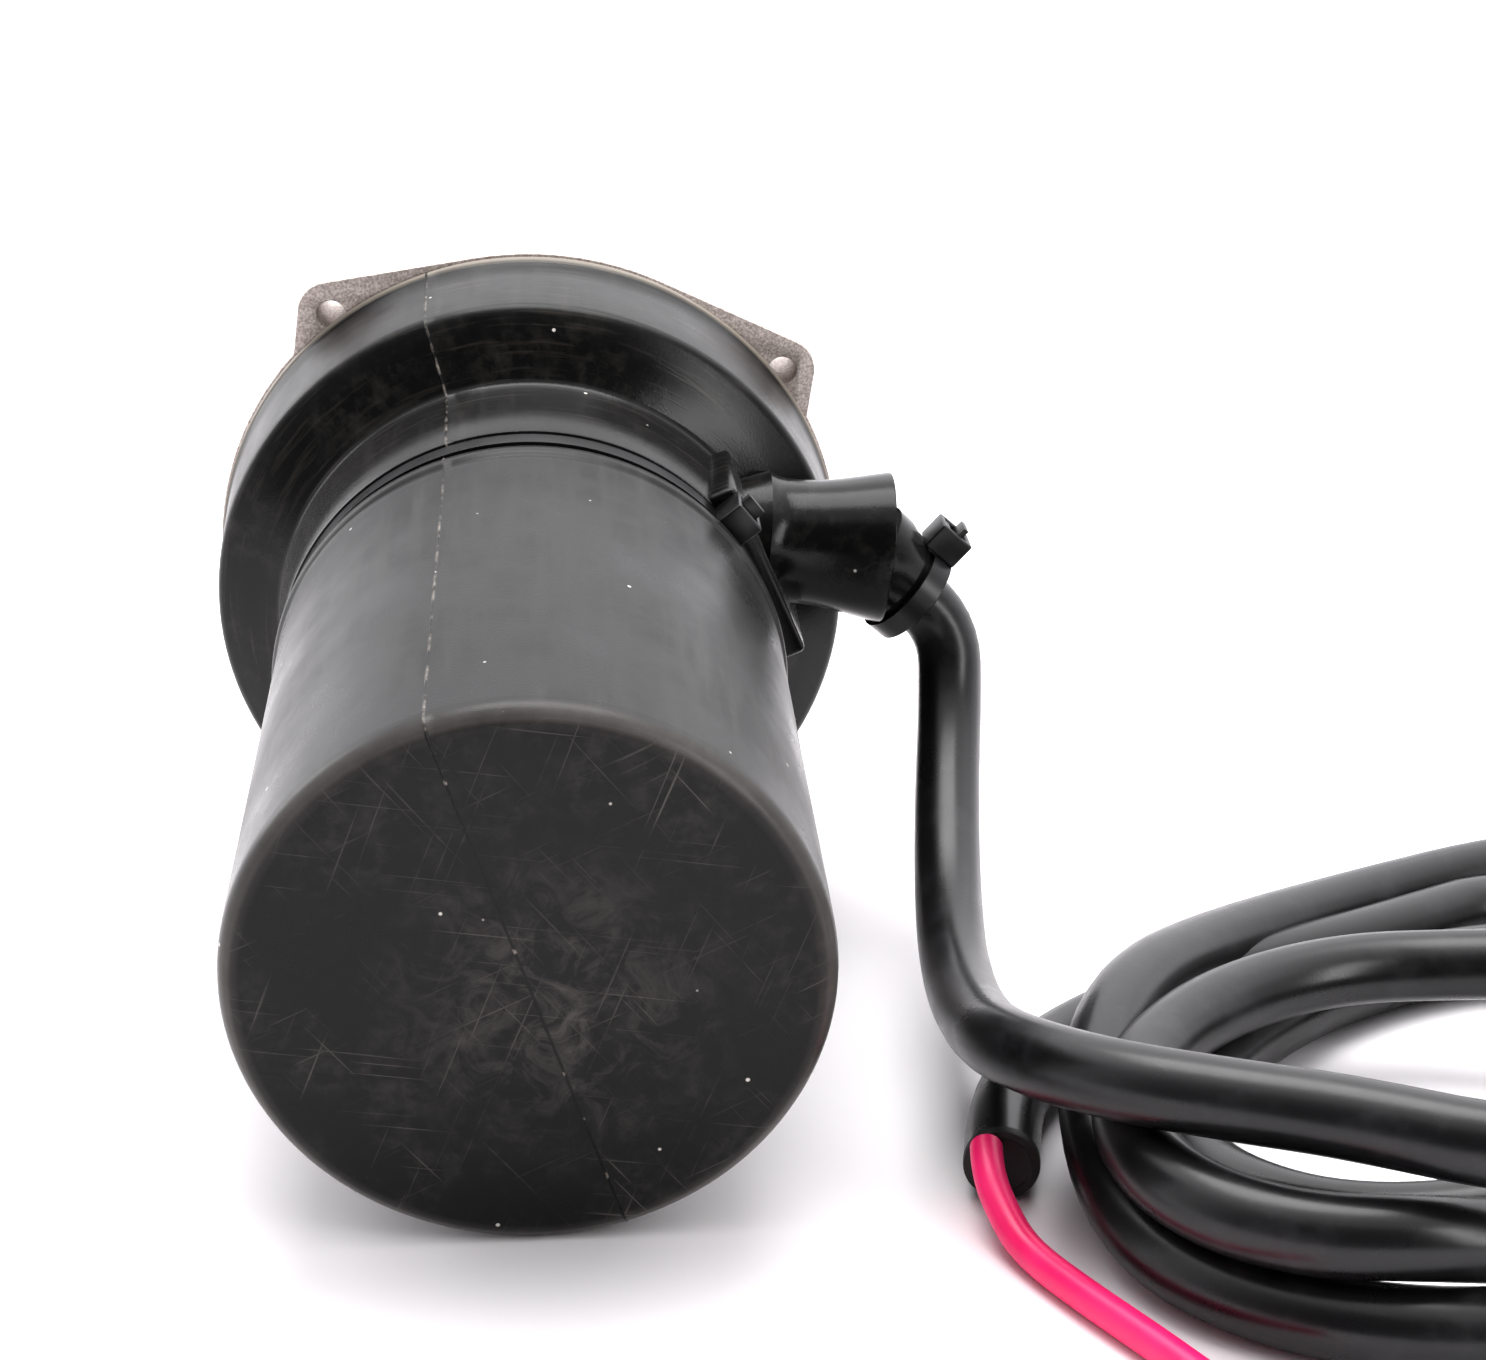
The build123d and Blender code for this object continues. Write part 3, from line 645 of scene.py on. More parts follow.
def make_materials(scene):
    """One finish for each of the record's material slots."""
    return {
        "boot_rubber": boot_rubber(scene.motor_boot),
        "cable_rubber": extruded_rubber(scene.motor_lead),
        # Nylon 66, injection moulded: smooth and faintly glossy.
        "tie_nylon": plain_polymer(
            "Nylon 66, injection moulded", "#0d0d0e", "#19191b", 0.30, 0.6, 0.08, 1.53
        ),
        # Plasticised PVC, extruded over the conductor: bright, smooth, slightly waxy.
        "core_red": plain_polymer(
            "PVC insulation, extruded", "#f0186b", "#ff2f7d", 0.36, 0.5, 0.06, 1.53
        ),
        # Nitrile rubber seal, moulded: matt black.
        "seal_rubber": plain_polymer("Nitrile rubber, moulded", "#151515", "#232221", 0.55, 0.4, 0.15),
        # Glass-filled nylon cage, moulded: ivory.
        "cage_plastic": plain_polymer(
            "Glass-filled nylon, moulded", "#8d7a55", "#b49c6d", 0.5, 0.4, 0.2
        ),
        # Powder-coated insulation on the stack: matt green-black epoxy.
        "insulator_plastic": plain_polymer(
            "Epoxy powder coat, sprayed", "#1d3a33", "#28503f", 0.45, 0.8, 0.3
        ),
        # Silicone wire jackets, extruded: soft satin.
        "wire_red": plain_polymer("Silicone jacket, red", "#8c1414", "#b01c1c", 0.5, 0.5, 0.1, 1.41),
        "wire_yellow": plain_polymer(
            "Silicone jacket, yellow", "#c39413", "#d9ad20", 0.5, 0.5, 0.1, 1.41
        ),
        "wire_blue": plain_polymer("Silicone jacket, blue", "#14317f", "#1d459d", 0.5, 0.5, 0.1, 1.41),
        # A356 aluminium, sand cast and tumbled: pale grey with small dark pits.
        "cast_aluminium": worked_metal(
            "A356 aluminium, sand cast", "#a89c96", "#ddd4cf", 0.5, 0.6, 0.5, metallic=0.6
        ),
        # 6061 aluminium, turned: fine rings.
        "turned_aluminium": worked_metal(
            "6061 aluminium, turned", "#a9abad", "#dcdddf", 0.28, 0.25, 0.2, round_shaft=True
        ),
        # Drawn steel can, phosphated.
        "can_steel": worked_metal(
            "Deep-drawn steel, phosphated", "#4a4c4e", "#6d6f71", 0.45, 0.5, 0.25
        ),
        # Screws, zinc plated.
        "zinc_steel": worked_metal("Carbon steel, zinc plated", "#9ea3a6", "#c6cbd0", 0.3, 0.5, 0.15),
        # Shaft, cylindrically ground.
        "ground_steel": worked_metal(
            "42CrMo4 steel, ground", "#8f9397", "#c8ccd0", 0.2, 0.12, 0.12, round_shaft=True
        ),
        "flux_steel": worked_metal(
            "Low-carbon steel, turned", "#5f6266", "#8b8e92", 0.4, 0.25, 0.2, round_shaft=True
        ),
        # Magnets, nickel plated.
        "nickel_plate": worked_metal(
            "Sintered magnet, nickel plated", "#a9a497", "#cdc8ba", 0.25, 0.6, 0.1
        ),
        "bearing_steel": worked_metal(
            "100Cr6 bearing steel, honed", "#9a9ea2", "#d5d8db", 0.15, 0.12, 0.08, round_shaft=True
        ),
        "ball_steel": worked_metal(
            "100Cr6 bearing steel, lapped", "#bfc3c7", "#dfe2e5", 0.08, 0.4, 0.03
        ),
        "spring_steel": worked_metal("Spring steel, blackened", "#26272a", "#3d3f43", 0.35, 0.3, 0.15),
        "lamination_steel": stacked_steel("Electrical steel, punched"),
        "enamelled_copper": worked_metal(
            "Enamelled copper, wound", "#7c3410", "#c9682e", 0.3, 0.9, 0.9, round_shaft=True
        ),
    }


MATERIALS = {}


# ---------------------------------------------------------------- settings
class MotorBootSettings(bpy.types.PropertyGroup):
    sides: IntProperty(name="Sides", description="Facets round the boot", default=144, min=24)
    rubber: FloatVectorProperty(
        name="Rubber",
        description="Colour of clean rubber",
        subtype="COLOR",
        size=3,
        default=linear("#0a0a0a")[:3],
    )
    seam_angle: FloatProperty(
        name="Seam angle",
        description="Where the mould halves met",
        default=radians(107.3),
        unit="ROTATION",
    )
    seam_height: FloatProperty(
        name="Seam height",
        description="How far the flash stands up",
        default=0.00025,
        unit="LENGTH",
        precision=5,
    )
    seam_width: FloatProperty(
        name="Seam width",
        description="Width of the flash",
        default=0.0007,
        unit="LENGTH",
        precision=5,
    )
    spout_droop: FloatProperty(
        name="Spout droop", description="How far the spout points down", default=6.0, min=0, max=30
    )
    nipple_droop: FloatProperty(
        name="Nipple droop",
        description="How far the nipple points down",
        default=42.0,
        min=0,
        max=80,
    )


class MotorTieSettings(bpy.types.PropertyGroup):
    head_width: FloatProperty(
        name="Head width", description="Across the strap", default=0.0074, unit="LENGTH"
    )
    head_length: FloatProperty(
        name="Head length", description="Along the slot", default=0.0084, unit="LENGTH"
    )
    head_height: FloatProperty(
        name="Head height", description="Above the strap", default=0.0064, unit="LENGTH"
    )


class MotorLeadSettings(bpy.types.PropertyGroup):
    sheath_diameter: FloatProperty(
        name="Sheath", description="Outside diameter", default=0.014, unit="LENGTH"
    )
    core_diameter: FloatProperty(
        name="Core", description="Outside diameter", default=0.006, unit="LENGTH"
    )
    sheath: FloatVectorProperty(
        name="Sheath colour",
        description="Colour of the sheath",
        subtype="COLOR",
        size=3,
        default=linear("#111012")[:3],
    )


class MotorStageSettings(bpy.types.PropertyGroup):
    lens: FloatProperty(name="Lens", description="Focal length in millimetres", default=65.41)
    sky: FloatProperty(name="Sky", description="Strength of the white surroundings", default=2.0)
    sun: FloatProperty(
        name="Overhead", description="Strength of the soft overhead light", default=1.2
    )
    top_box: FloatProperty(
        name="Top box", description="Brightness of the box overhead", default=5.5
    )
    side_box: FloatProperty(
        name="Side box", description="Brightness of the box on the right", default=8.0
    )
    left_box: FloatProperty(
        name="Left box", description="Brightness of the box at the back left", default=3.0
    )
    dark_side: FloatProperty(
        name="Dark side",
        description="Brightness of the room behind the camera",
        default=0.06,
        min=0,
        max=1,
    )


# ---------------------------------------------------------------- the lead
# Control points in millimetres. The lead leaves the nipple, hangs, and runs out to the coil.
LEAD_POINTS = (
    (92, -70, -24),
    (89, -88, -38),
    (86, -112, -50),
    (83.5, -140, -55.5),
    (83, -172, -51),
    (85, -200, -42),
    (98, -220, -37.5),
    (118, -232, -36),
    (134, -240.5, -35),
)
# Each turn drifts between ovals: angle travelled, centre x and y, half lengths, direction.
TURNS = (
    (-148, 204, -165, 111, 68, 38.5),
    (-100, 204, -166, 112, 82, 38.5),
    (-60, 204, -166, 120, 84, 38.5),
    (0, 204, -165, 118, 76, 38.5),
    (60, 204, -165, 118, 73, 38.5),
    (285, 204, -165, 118, 73, 38.5),
    (330, 182, -184, 82, 56, 41),
    (362, 155.5, -202.5, 57, 42.5, 43),
    (400, 154.5, -203, 56, 42, 43),
    (620, 154.5, -203, 56, 42, 43),
    (680, 178, -184, 72, 46, 42),
    (720, 180, -182, 74, 47, 42),
    (960, 180, -182, 74, 47, 42),
    (1020, 186, -178, 80, 52, 44),
    (1090, 196, -158, 74, 58, 44),
)
# Height of the lead's middle above the floor at each angle travelled.
LIFTS = (
    (-148, 38),
    (-120, 35),
    (-90, 22),
    (-60, 8),
    (-30, 7.2),
    (90, 7.2),
    (102, 14),
    (114, 20.5),
    (130, 21.5),
    (144, 18),
    (160, 9),
    (172, 7.3),
    (270, 7.2),
    (290, 12),
    (312, 27),
    (335, 33),
    (358, 26),
    (380, 21.8),
    (590, 21.8),
    (615, 14),
    (638, 7.3),
    (820, 7.2),
    (850, 10),
    (890, 15.5),
    (930, 18),
    (975, 21.8),
    (1020, 22),
    (1045, 15),
    (1065, 9),
    (1090, 7.2),
)
COIL_START = -142
COIL_END = 1082
COIL_STEP = 22
TAIL_POINTS = (
    (214, -92),
    (186, -107),
    (160, -119),
    (138, -128),
    (118, -141),
    (104, -152),
    (94, -165),
    (87, -181),
    (84, -199),
)
CORE_POINTS = (
    (81, -199.6, -61.5),
    (80.2, -206, -62.5),
    (81.5, -212.5, -66),
    (84.5, -221.5, -69.7),
    (92, -236, -69.7),
    (101, -251, -69.7),
    (109, -265.5, -69.7),
    (115.5, -277, -69.7),
)
# Where the nipple leaves the spout on the bench, across and up, and how far it reaches.
NIPPLE_ROOT = (76.5, 12.5)
NIPPLE_LENGTH = 11.6
LEAD_DEPTH = 63.0
# The lead runs straight on from the nipple's mouth for this far.
EXIT_RUN = 10
# Height of the lead's middle above the floor where it lies flat.
TAIL_LIFT = 7.2
# The cut end: the sheath's edge, a step down to the packing, and the packing itself.
LEAD_END_PROFILE = (
    (AXIS, -2.0),
    (6.7, -2.0),
    (7.04, -1.6),
    (7.04, 0.0),
    (6.9, 0.35),
    (5.6, 0.4),
    (5.35, 0.15),
    (5.2, -0.5),
    (2.5, -0.35),
    (AXIS, -0.3),
)


def between(table, at):
    """The values of a table of keys at an angle, straight between its rows."""
    for low, high in zip(table, table[1:]):
        if at <= high[0]:
            share = max(at - low[0], 0) / (high[0] - low[0])
            return [a + (b - a) * share for a, b in zip(low[1:], high[1:])]
    return list(table[-1][1:])


def lead_route(droop):
    """The whole lead's control points, from the nipple's mouth to its cut end."""
    lean = radians(droop)
    route = []
    for reach in (NIPPLE_LENGTH, NIPPLE_LENGTH + EXIT_RUN):
        across, up = NIPPLE_ROOT[0] + reach * cos(lean), NIPPLE_ROOT[1] - reach * sin(lean)
        route.append(tuple(BENCH @ Vector((across, up, LEAD_DEPTH))))
    route += LEAD_POINTS
    # A spline of this order cuts inside its points, so they stand out by this much.
    stand_out = 1 / cos(radians(COIL_STEP / 2))
    for angle in range(COIL_START, COIL_END + 1, COIL_STEP):
        x, y, long_half, short_half, direction = between(TURNS, angle)
        lift = between(LIFTS, angle)[0]
        turn = Matrix.Rotation(radians(direction), 2)
        oval = Vector((long_half * cos(radians(angle)), short_half * sin(radians(angle))))
        out = turn @ oval * stand_out
        route.append((x + out.x, y + out.y, FLOOR + lift))
    route += [(x, y, FLOOR + TAIL_LIFT) for x, y in TAIL_POINTS]
    return route


class MOTOR_OT_lead(bpy.types.Operator):
    """Lays the rubber lead: down from the nipple, along the floor and round its loose coil"""

    bl_idname = "motor.lead"
    bl_label = "Lead"

    def execute(self, context):
        settings = context.scene.motor_lead
        route = lead_route(context.scene.motor_boot.nipple_droop)
        lead = smooth_cord("lead", route, settings.sheath_diameter / 2)
        finish_piece(lead, "housing", MATERIALS["cable_rubber"])
        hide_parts("cable_lead", "cable_coil", "cable_tail")
        end, before = Vector(route[-1]), Vector(route[-2])
        way = (end - before).normalized()
        rotation = Vector((0, 0, 1)).rotation_difference(way).to_matrix().to_4x4()
        cut = turned("lead_end", LEAD_END_PROFILE, 48)
        settle(cut, Matrix.Translation(end * MM) @ rotation)
        smooth(cut, 40)
        finish_piece(cut, "housing", MATERIALS["seal_rubber"])
        cord_length(lead)
        return {"FINISHED"}


class MOTOR_OT_core(bpy.types.Operator):
    """Lays the red core that comes out of the lead's cut end"""

    bl_idname = "motor.core"
    bl_label = "Red core"

    def execute(self, context):
        settings = context.scene.motor_lead
        core = smooth_cord("red_core", CORE_POINTS, settings.core_diameter / 2)
        finish_piece(core, "housing", MATERIALS["core_red"])
        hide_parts("core_red")
        cord_length(core)
        return {"FINISHED"}


# ---------------------------------------------------------------- the boot
# Turned profiles as (radius, height) in millimetres. The boot's heights are depths on the bench,
# and it starts inside at the dome, turns round the collar's lip and ends outside on the dome.
BOOT_PROFILE = (
    (AXIS, 210.05),
    (50.05, 210.05),
    (50.05, 58.3),
    (66.55, 48.2),
    (66.55, 19.5),
    (71.0, 19.5),
    (71.4, 19.8),
    (71.4, 21.3),
    (71.1, 21.7),
    (70.8, 22.1),
    (70.4, 31.0),
    (70.0, 40.0),
    (69.63, 47.9),
    (69.5, 48.9),
    (69.1, 49.8),
    (68.5, 50.4),
    (67.8, 50.9),
    (62.0, 54.45),
    (56.2, 58.0),
    (55.3, 58.7),
    (54.95, 59.5),
    (54.7, 61.5),
    (54.0, 72.0),
    (53.35, 82.4),
    (53.2, 83.0),
    (52.8, 83.3),
    (51.8, 83.35),
    (51.6, 83.6),
    (51.6, 91.8),
    (51.9, 92.1),
    (52.7, 92.15),
    (53.3, 92.3),
    (53.75, 92.9),
    (53.85, 93.8),
    (53.85, 94.9),
    (53.7, 95.7),
    (53.3, 96.3),
    (53.03, 96.9),
    (53.0, 98.0),
    (53.0, 120.0),
    (53.0, 150.0),
    (53.0, 180.0),
    (53.0, 207.5),
    (53.0, 209.0),
    (52.85, 210.2),
    (52.35, 211.35),
    (51.55, 212.2),
    (50.4, 212.8),
    (49.0, 213.0),
    (47.0, 213.05),
    (40.0, 213.1),
    (26.0, 213.1),
    (12.0, 213.1),
    (AXIS, 213.1),
)
SPOUT_PROFILE = (
    (AXIS, -33.0),
    (12.6, -33.0),
    (14.9, -26.5),
    (14.0, -24.6),
    (13.6, -22.6),
    (13.5, -20.0),
    (13.7, -15.3),
    (14.3, -11.0),
    (15.1, -7.0),
    (15.9, -3.2),
    (16.4, -0.8),
    (16.5, -0.2),
    (16.45, 0.0),
    (15.7, 0.0),
    (15.5, -0.2),
    (15.2, -1.0),
    (AXIS, -1.0),
)
NIPPLE_PROFILE = (
    (AXIS, -5.0),
    (12.5, -5.0),
    (12.3, -1.0),
    (11.7, 1.0),
    (11.2, 3.0),
    (10.4, 5.3),
    (10.15, 6.1),
    (10.15, 11.2),
    (10.35, 11.35),
    (10.3, 11.75),
    (9.9, 12.0),
    (7.5, 12.0),
    (7.1, 11.8),
    (7.05, 4.0),
    (AXIS, 4.0),
)


# Where the spout leaves the collar: across, up and depth.
SPOUT_MOUTH = (77.5, 16.9, LEAD_DEPTH)
# The flat pad behind the collar: its size, its angle round the body and its middle's place.
PAD_SIZE = (24.5, 41.0, 6.4)
PAD_ANGLE = radians(22)
PAD_RADIUS = 52.0
PAD_DEPTH = 71.05
# Flash stands only outside these: the body's inner skin, the dome's face and the collar's lip.
FLASH_RADIUS = 50.5
FLASH_FACE = 212
FLASH_LIP = 21


class MOTOR_OT_boot(bpy.types.Operator):
    """Moulds the rubber boot: collar, band, tie groove, bead, body and dome, with its spout"""

    bl_idname = "motor.boot"
    bl_label = "Rubber boot"

    def execute(self, context):
        settings = context.scene.motor_boot
        shell = turned("boot", BOOT_PROFILE, settings.sides)
        self.raise_seam(shell, settings)
        settle(shell, BENCH)
        pad = box("pad", PAD_SIZE, (0, 0, 0))
        bevel_edges(pad, 1.4, 4)
        across, up = cos(PAD_ANGLE), sin(PAD_ANGLE)
        # The pad's z points outwards at its angle and its x runs along the depth.
        pad_frame = Matrix(
            (
                (0, up, across, PAD_RADIUS * across * MM),
                (0, -across, up, PAD_RADIUS * up * MM),
                (1, 0, 0, PAD_DEPTH * MM),
                (0, 0, 0, 1),
            )
        )
        settle(pad, BENCH @ pad_frame)
        spout = turned("spout", SPOUT_PROFILE, 72)
        settle(spout, branch(*SPOUT_MOUTH, settings.spout_droop))
        nipple = turned("nipple", NIPPLE_PROFILE, 64)
        settle(nipple, branch(*NIPPLE_ROOT, LEAD_DEPTH, settings.nipple_droop))
        boot = join("boot", [shell, pad, spout, nipple])
        smooth(boot, 38)
        finish_piece(boot, "housing", MATERIALS["boot_rubber"])
        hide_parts("rubber_boot")
        return {"FINISHED"}

    def raise_seam(self, shell, settings):
        """Cuts a narrow strip along the parting plane and lifts its middle as flash."""
        make_active(shell)
        bpy.ops.object.mode_set(mode="EDIT")
        normal = Vector((-sin(settings.seam_angle), cos(settings.seam_angle), 0))
        half = settings.seam_width / 2
        for offset in (-half, 0, half):
            bpy.ops.mesh.select_all(action="SELECT")
            bpy.ops.mesh.bisect(plane_co=normal * offset, plane_no=normal)
        bpy.ops.mesh.select_all(action="DESELECT")
        bpy.ops.object.mode_set(mode="OBJECT")
        for vertex in shell.data.vertices:
            out = Vector((vertex.co.x, vertex.co.y)).length
            outside = out > FLASH_RADIUS * MM or vertex.co.z > FLASH_FACE * MM
            on_plane = abs(vertex.co.dot(normal)) < half / 4
            vertex.select = on_plane and outside and vertex.co.z > FLASH_LIP * MM
        bpy.ops.object.mode_set(mode="EDIT")
        bpy.ops.transform.shrink_fatten(value=settings.seam_height)
        bpy.ops.object.mode_set(mode="OBJECT")


# ---------------------------------------------------------------- ties and casting
# The body's tie: where its head stands round the body, and the strap's radius and depth.
TIE_ANGLE = radians(38)
TIE_RADIUS = 52.5
TIE_DEPTH = 87.3
# The nipple's tie: how far its head's foot lies in from the head's middle, and back along it.
FOOT_IN = 3.2
FOOT_BACK = 1.6


def tie_head(name, settings):
    """A cable tie's head with its slot, and the strap's cut tail standing in the slot.
    Its z points away from the strap, its x runs along the strap and its y across it."""
    sizes = (settings.head_width, settings.head_length, settings.head_height)
    width, length, height = [size / MM for size in sizes]
    head = box(name, (width, length, height), (0, 0, height / 2))
    pick_faces(head, lambda centre, normal: normal.z > 0.9)
    bpy.ops.object.mode_set(mode="EDIT")
    bpy.ops.mesh.inset(thickness=1.15 * MM)
    bpy.ops.mesh.extrude_region_move(TRANSFORM_OT_translate={"value": (0, 0, -2.2 * MM)})
    bpy.ops.transform.resize(value=(0.75, 1.0, 1.0))
    bpy.ops.object.mode_set(mode="OBJECT")
    bevel_edges(head, 0.45, 3, 40)
    pawl = box("pawl", (width - 3.4, 1.2, 2.6), (0, -length / 2 + 2.0, height - 1.6))
    bevel_edges(pawl, 0.3, 2)
    tail = box("tail", (width - 2.4, 1.25, 6.4), (0, 0.35, height - 1.3))
    make_active(tail)
    pick_faces(tail, lambda centre, normal: normal.z > 0.9)
    bpy.ops.object.mode_set(mode="EDIT")
    bpy.ops.transform.translate(value=(0.0, 0.5 * MM, 0.0))
    bpy.ops.object.mode_set(mode="OBJECT")
    bevel_edges(tail, 0.2, 2)
    return join(name, [head, pawl, tail])


class MOTOR_OT_ties(bpy.types.Operator):
    """Makes the heads of the two cable ties; their straps are the frame's own rings"""

    bl_idname = "motor.ties"
    bl_label = "Cable ties"

    def execute(self, context):
        settings = context.scene.motor_ties
        head = tie_head("boot_tie", settings)
        across, up = cos(TIE_ANGLE), sin(TIE_ANGLE)
        outward = Matrix(
            (
                (up, 0, across, TIE_RADIUS * across * MM),
                (-across, 0, up, TIE_RADIUS * up * MM),
                (0, -1, 0, TIE_DEPTH * MM),
                (0, 0, 0, 1),
            )
        )
        settle(head, BENCH @ outward)
        smooth(head, 40)
        finish_piece(head, "housing", MATERIALS["tie_nylon"])
        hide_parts("boot_tie_head")
        second = tie_head("spout_tie", settings)
        low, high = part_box("spout_tie_head")
        middle = (low + high) / 2
        # It stands on the upper side of the nipple, square to it.
        lean = radians(context.scene.motor_boot.nipple_droop)
        out = Vector((sin(lean), cos(lean), 0))
        along = Vector((cos(lean), -sin(lean), 0))
        side = Vector((0, 0, 1))
        stand = Matrix((side, along, out)).transposed().to_4x4()
        foot = middle - BENCH.to_3x3() @ (out * FOOT_IN + along * FOOT_BACK) * MM
        settle(second, Matrix.Translation(foot) @ BENCH @ stand)
        smooth(second, 40)
        finish_piece(second, "housing", MATERIALS["tie_nylon"])
        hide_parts("spout_tie_head")
        return {"FINISHED"}


class MOTOR_OT_casting(bpy.types.Operator):
    """Softens the edges of a copy of the front casting, as tumbling does"""

    bl_idname = "motor.casting"
    bl_label = "Front casting"

    def execute(self, context):
        source = frame["nodes"]["front_housing"]
        casting = bpy.data.objects.new("casting", source.data.copy())
        context.scene.collection.objects.link(casting)
        make_active(casting)
        bpy.ops.object.mode_set(mode="EDIT")
        bpy.ops.mesh.select_all(action="SELECT")
        bpy.ops.mesh.remove_doubles(threshold=0.005 * MM)
        bpy.ops.mesh.dissolve_limited(angle_limit=radians(0.6))
        bpy.ops.object.mode_set(mode="OBJECT")
        bevel_edges(casting, 0.5, 2, 42)
        smooth(casting, 35)
        finish_piece(casting, "housing", MATERIALS["cast_aluminium"])
        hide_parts("front_housing")
        return {"FINISHED"}


class MOTOR_OT_finishes(bpy.types.Operator):
    """Gives every frame node that shows the finish of its material slot"""

    bl_idname = "motor.finishes"
    bl_label = "Finishes"

    def execute(self, context):
        for part in frame["record"]["subparts"]:
            node = frame["nodes"][part["node"]]
            node.data.materials.clear()
            node.data.materials.append(MATERIALS[part["material_slot"]])
        return {"FINISHED"}


# ---------------------------------------------------------------- stage
# Side of the paper sweep in metres.
FLOOR_SIZE = 9
# Each softbox: its setting, its width and height, where it stands and what it faces, in metres.
SOFTBOXES = (
    ("top_box", (0.9, 0.7), (0.1, 0.15, 1.1), (0.05, -0.1, 0)),
    ("side_box", (0.35, 1.0), (1.15, -1.05, 0.55), (0.1, -0.1, 0)),
    ("left_box", (0.7, 0.9), (-1.3, 0.9, 0.5), (-0.03, -0.1, 0)),
)
# The camera's place in millimetres and its axes.
CAMERA_PLACE = (8.987, -627.240, 184.752)
CAMERA_RIGHT = (0.99761766, -0.0686661, -0.00663057)
CAMERA_UP = (0.02956071, 0.33866221, 0.94044355)
CAMERA_AHEAD = (0.06233107, 0.9383991, -0.33988522)
# Below 1, so that the black rubber keeps its depth beside the white floor.
GAMMA = 0.86


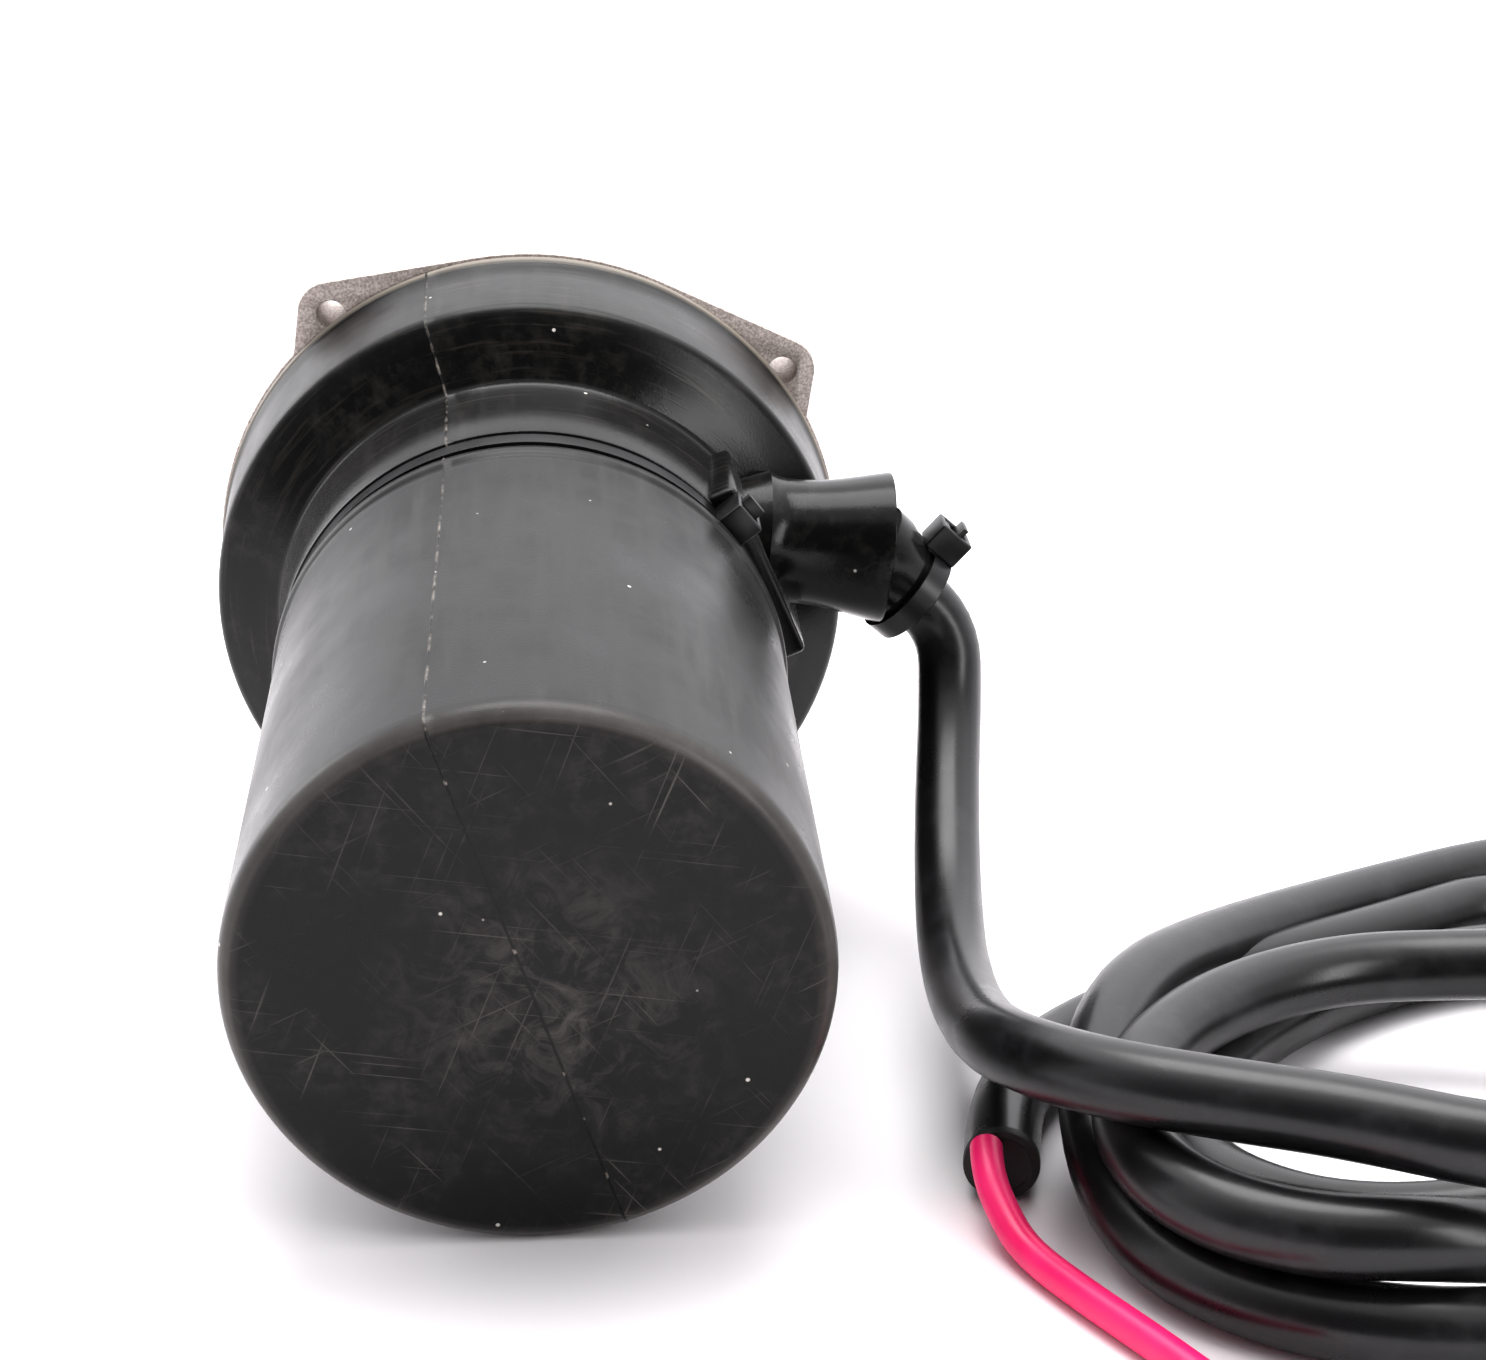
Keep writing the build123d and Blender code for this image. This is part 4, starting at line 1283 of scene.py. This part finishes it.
class MOTOR_OT_stage(bpy.types.Operator):
    """Sets the pale floor, the soft studio light and the camera"""

    bl_idname = "motor.stage"
    bl_label = "Stage"

    def execute(self, context):
        settings = context.scene.motor_stage
        scene = context.scene
        clear_selection()
        bpy.ops.mesh.primitive_plane_add(size=FLOOR_SIZE, location=(0, 0, FLOOR * MM))
        floor = context.object
        floor.name = "floor"
        bpy.ops.object.transform_apply(location=True, rotation=True, scale=True)
        # Matt white paper sweep.
        material, tree, shader, place = new_material("Paper sweep, matt white")
        fibre = add_node(
            tree, "ShaderNodeTexNoise", {"Vector": place, "Scale": 3.0, "Detail": 2.0}
        ).outputs[0]
        paper = add_node(
            tree,
            "ShaderNodeMix",
            {MIX_BY: fibre, MIX_FIRST: linear("#f1eef0"), MIX_SECOND: linear("#f5f3f4")},
            data_type="RGBA",
        ).outputs[MIX_RESULT]
        tree.links.new(paper, shader.inputs["Base Color"])
        shader.inputs["Roughness"].default_value = 0.9
        shader.inputs["Specular IOR Level"].default_value = 0.1
        floor.data.materials.append(material)
        bpy.ops.object.light_add(type="SUN", location=(0.3, 0.4, 1.5))
        sun = context.object
        sun.name = "overhead"
        sun.data.energy = settings.sun
        sun.data.angle = radians(100)
        sun.rotation_euler = (radians(-14), radians(10), 0)
        for name, size, stand, target in SOFTBOXES:
            self.softbox(name, getattr(settings, name), size, stand, target)
        self.surround(scene, settings)
        self.aim_camera(scene, settings)
        scene.view_settings.view_transform = "Standard"
        scene.view_settings.look = "None"
        scene.view_settings.gamma = GAMMA
        return {"FINISHED"}

    def softbox(self, name, radiance, size, place, target):
        """A rectangular soft light of a given brightness, turned to face a target."""
        bpy.ops.object.light_add(type="AREA", location=place)
        lamp = bpy.context.object
        lamp.name = name
        lamp.data.shape = "RECTANGLE"
        lamp.data.size, lamp.data.size_y = size
        lamp.data.energy = radiance * pi * size[0] * size[1]
        lamp.rotation_euler = (Vector(target) - Vector(place)).to_track_quat("-Z", "Y").to_euler()

    def surround(self, scene, settings):
        """White surroundings that darken towards the camera's side of the room."""
        world = bpy.data.worlds.new("studio")
        scene.world = world
        world.use_nodes = True
        tree = world.node_tree
        tree.nodes.clear()
        coords = add_node(tree, "ShaderNodeTexCoord", {})
        axes = add_node(tree, "ShaderNodeSeparateXYZ", {"Vector": coords.outputs["Generated"]})
        level = add_node(
            tree,
            "ShaderNodeMapRange",
            {
                "Value": axes.outputs["Y"],
                "From Min": -0.8,
                "From Max": 0.45,
                "To Min": settings.dark_side,
                "To Max": 1.0,
            },
            interpolation_type="SMOOTHSTEP",
        )
        strength = add_node(
            tree, "ShaderNodeMath", {0: level.outputs[0], 1: settings.sky}, operation="MULTIPLY"
        )
        back = add_node(
            tree,
            "ShaderNodeBackground",
            {"Color": linear("#fdfcff"), "Strength": strength.outputs[0]},
        )
        add_node(tree, "ShaderNodeOutputWorld", {"Surface": back.outputs[0]})

    def aim_camera(self, scene, settings):
        data = bpy.data.cameras.new("camera")
        data.lens = settings.lens
        data.sensor_width = 36
        data.clip_start = 0.01
        data.clip_end = 50
        camera = bpy.data.objects.new("camera", data)
        scene.collection.objects.link(camera)
        back = -Vector(CAMERA_AHEAD)
        turn = Matrix((CAMERA_RIGHT, CAMERA_UP, back)).transposed().to_4x4()
        camera.matrix_world = Matrix.Translation(Vector(CAMERA_PLACE) * MM) @ turn
        scene.camera = camera


# ---------------------------------------------------------------- panel and registration
class MOTOR_PT_panel(bpy.types.Panel):
    bl_idname = "MOTOR_PT_panel"
    bl_label = "Outrunner motor"
    bl_space_type = "VIEW_3D"
    bl_region_type = "UI"
    bl_category = "Motor"

    def draw(self, context):
        layout = self.layout
        for operator in OPERATORS:
            layout.operator(operator.bl_idname)
        for name in SETTINGS:
            group = getattr(context.scene, name)
            column = layout.column()
            for key in group.__annotations__:
                column.prop(group, key)


SETTINGS = {
    "motor_boot": MotorBootSettings,
    "motor_ties": MotorTieSettings,
    "motor_lead": MotorLeadSettings,
    "motor_stage": MotorStageSettings,
}
OPERATORS = (
    MOTOR_OT_stage,
    MOTOR_OT_lead,
    MOTOR_OT_core,
    MOTOR_OT_boot,
    MOTOR_OT_ties,
    MOTOR_OT_casting,
    MOTOR_OT_finishes,
)


def register():
    for group in SETTINGS.values():
        bpy.utils.register_class(group)
    for operator in OPERATORS:
        bpy.utils.register_class(operator)
    bpy.utils.register_class(MOTOR_PT_panel)
    for name, group in SETTINGS.items():
        setattr(bpy.types.Scene, name, PointerProperty(type=group))


def unregister():
    for name in SETTINGS:
        delattr(bpy.types.Scene, name)
    bpy.utils.unregister_class(MOTOR_PT_panel)
    for operator in reversed(OPERATORS):
        bpy.utils.unregister_class(operator)
    for group in reversed(SETTINGS.values()):
        bpy.utils.unregister_class(group)


def main():
    register()
    MATERIALS.update(make_materials(bpy.context.scene))
    bpy.ops.motor.stage()
    bpy.ops.motor.lead()
    bpy.ops.motor.core()
    bpy.ops.motor.boot()
    bpy.ops.motor.ties()
    bpy.ops.motor.casting()
    bpy.ops.motor.finishes()


if __name__ == "__main__":
    main()
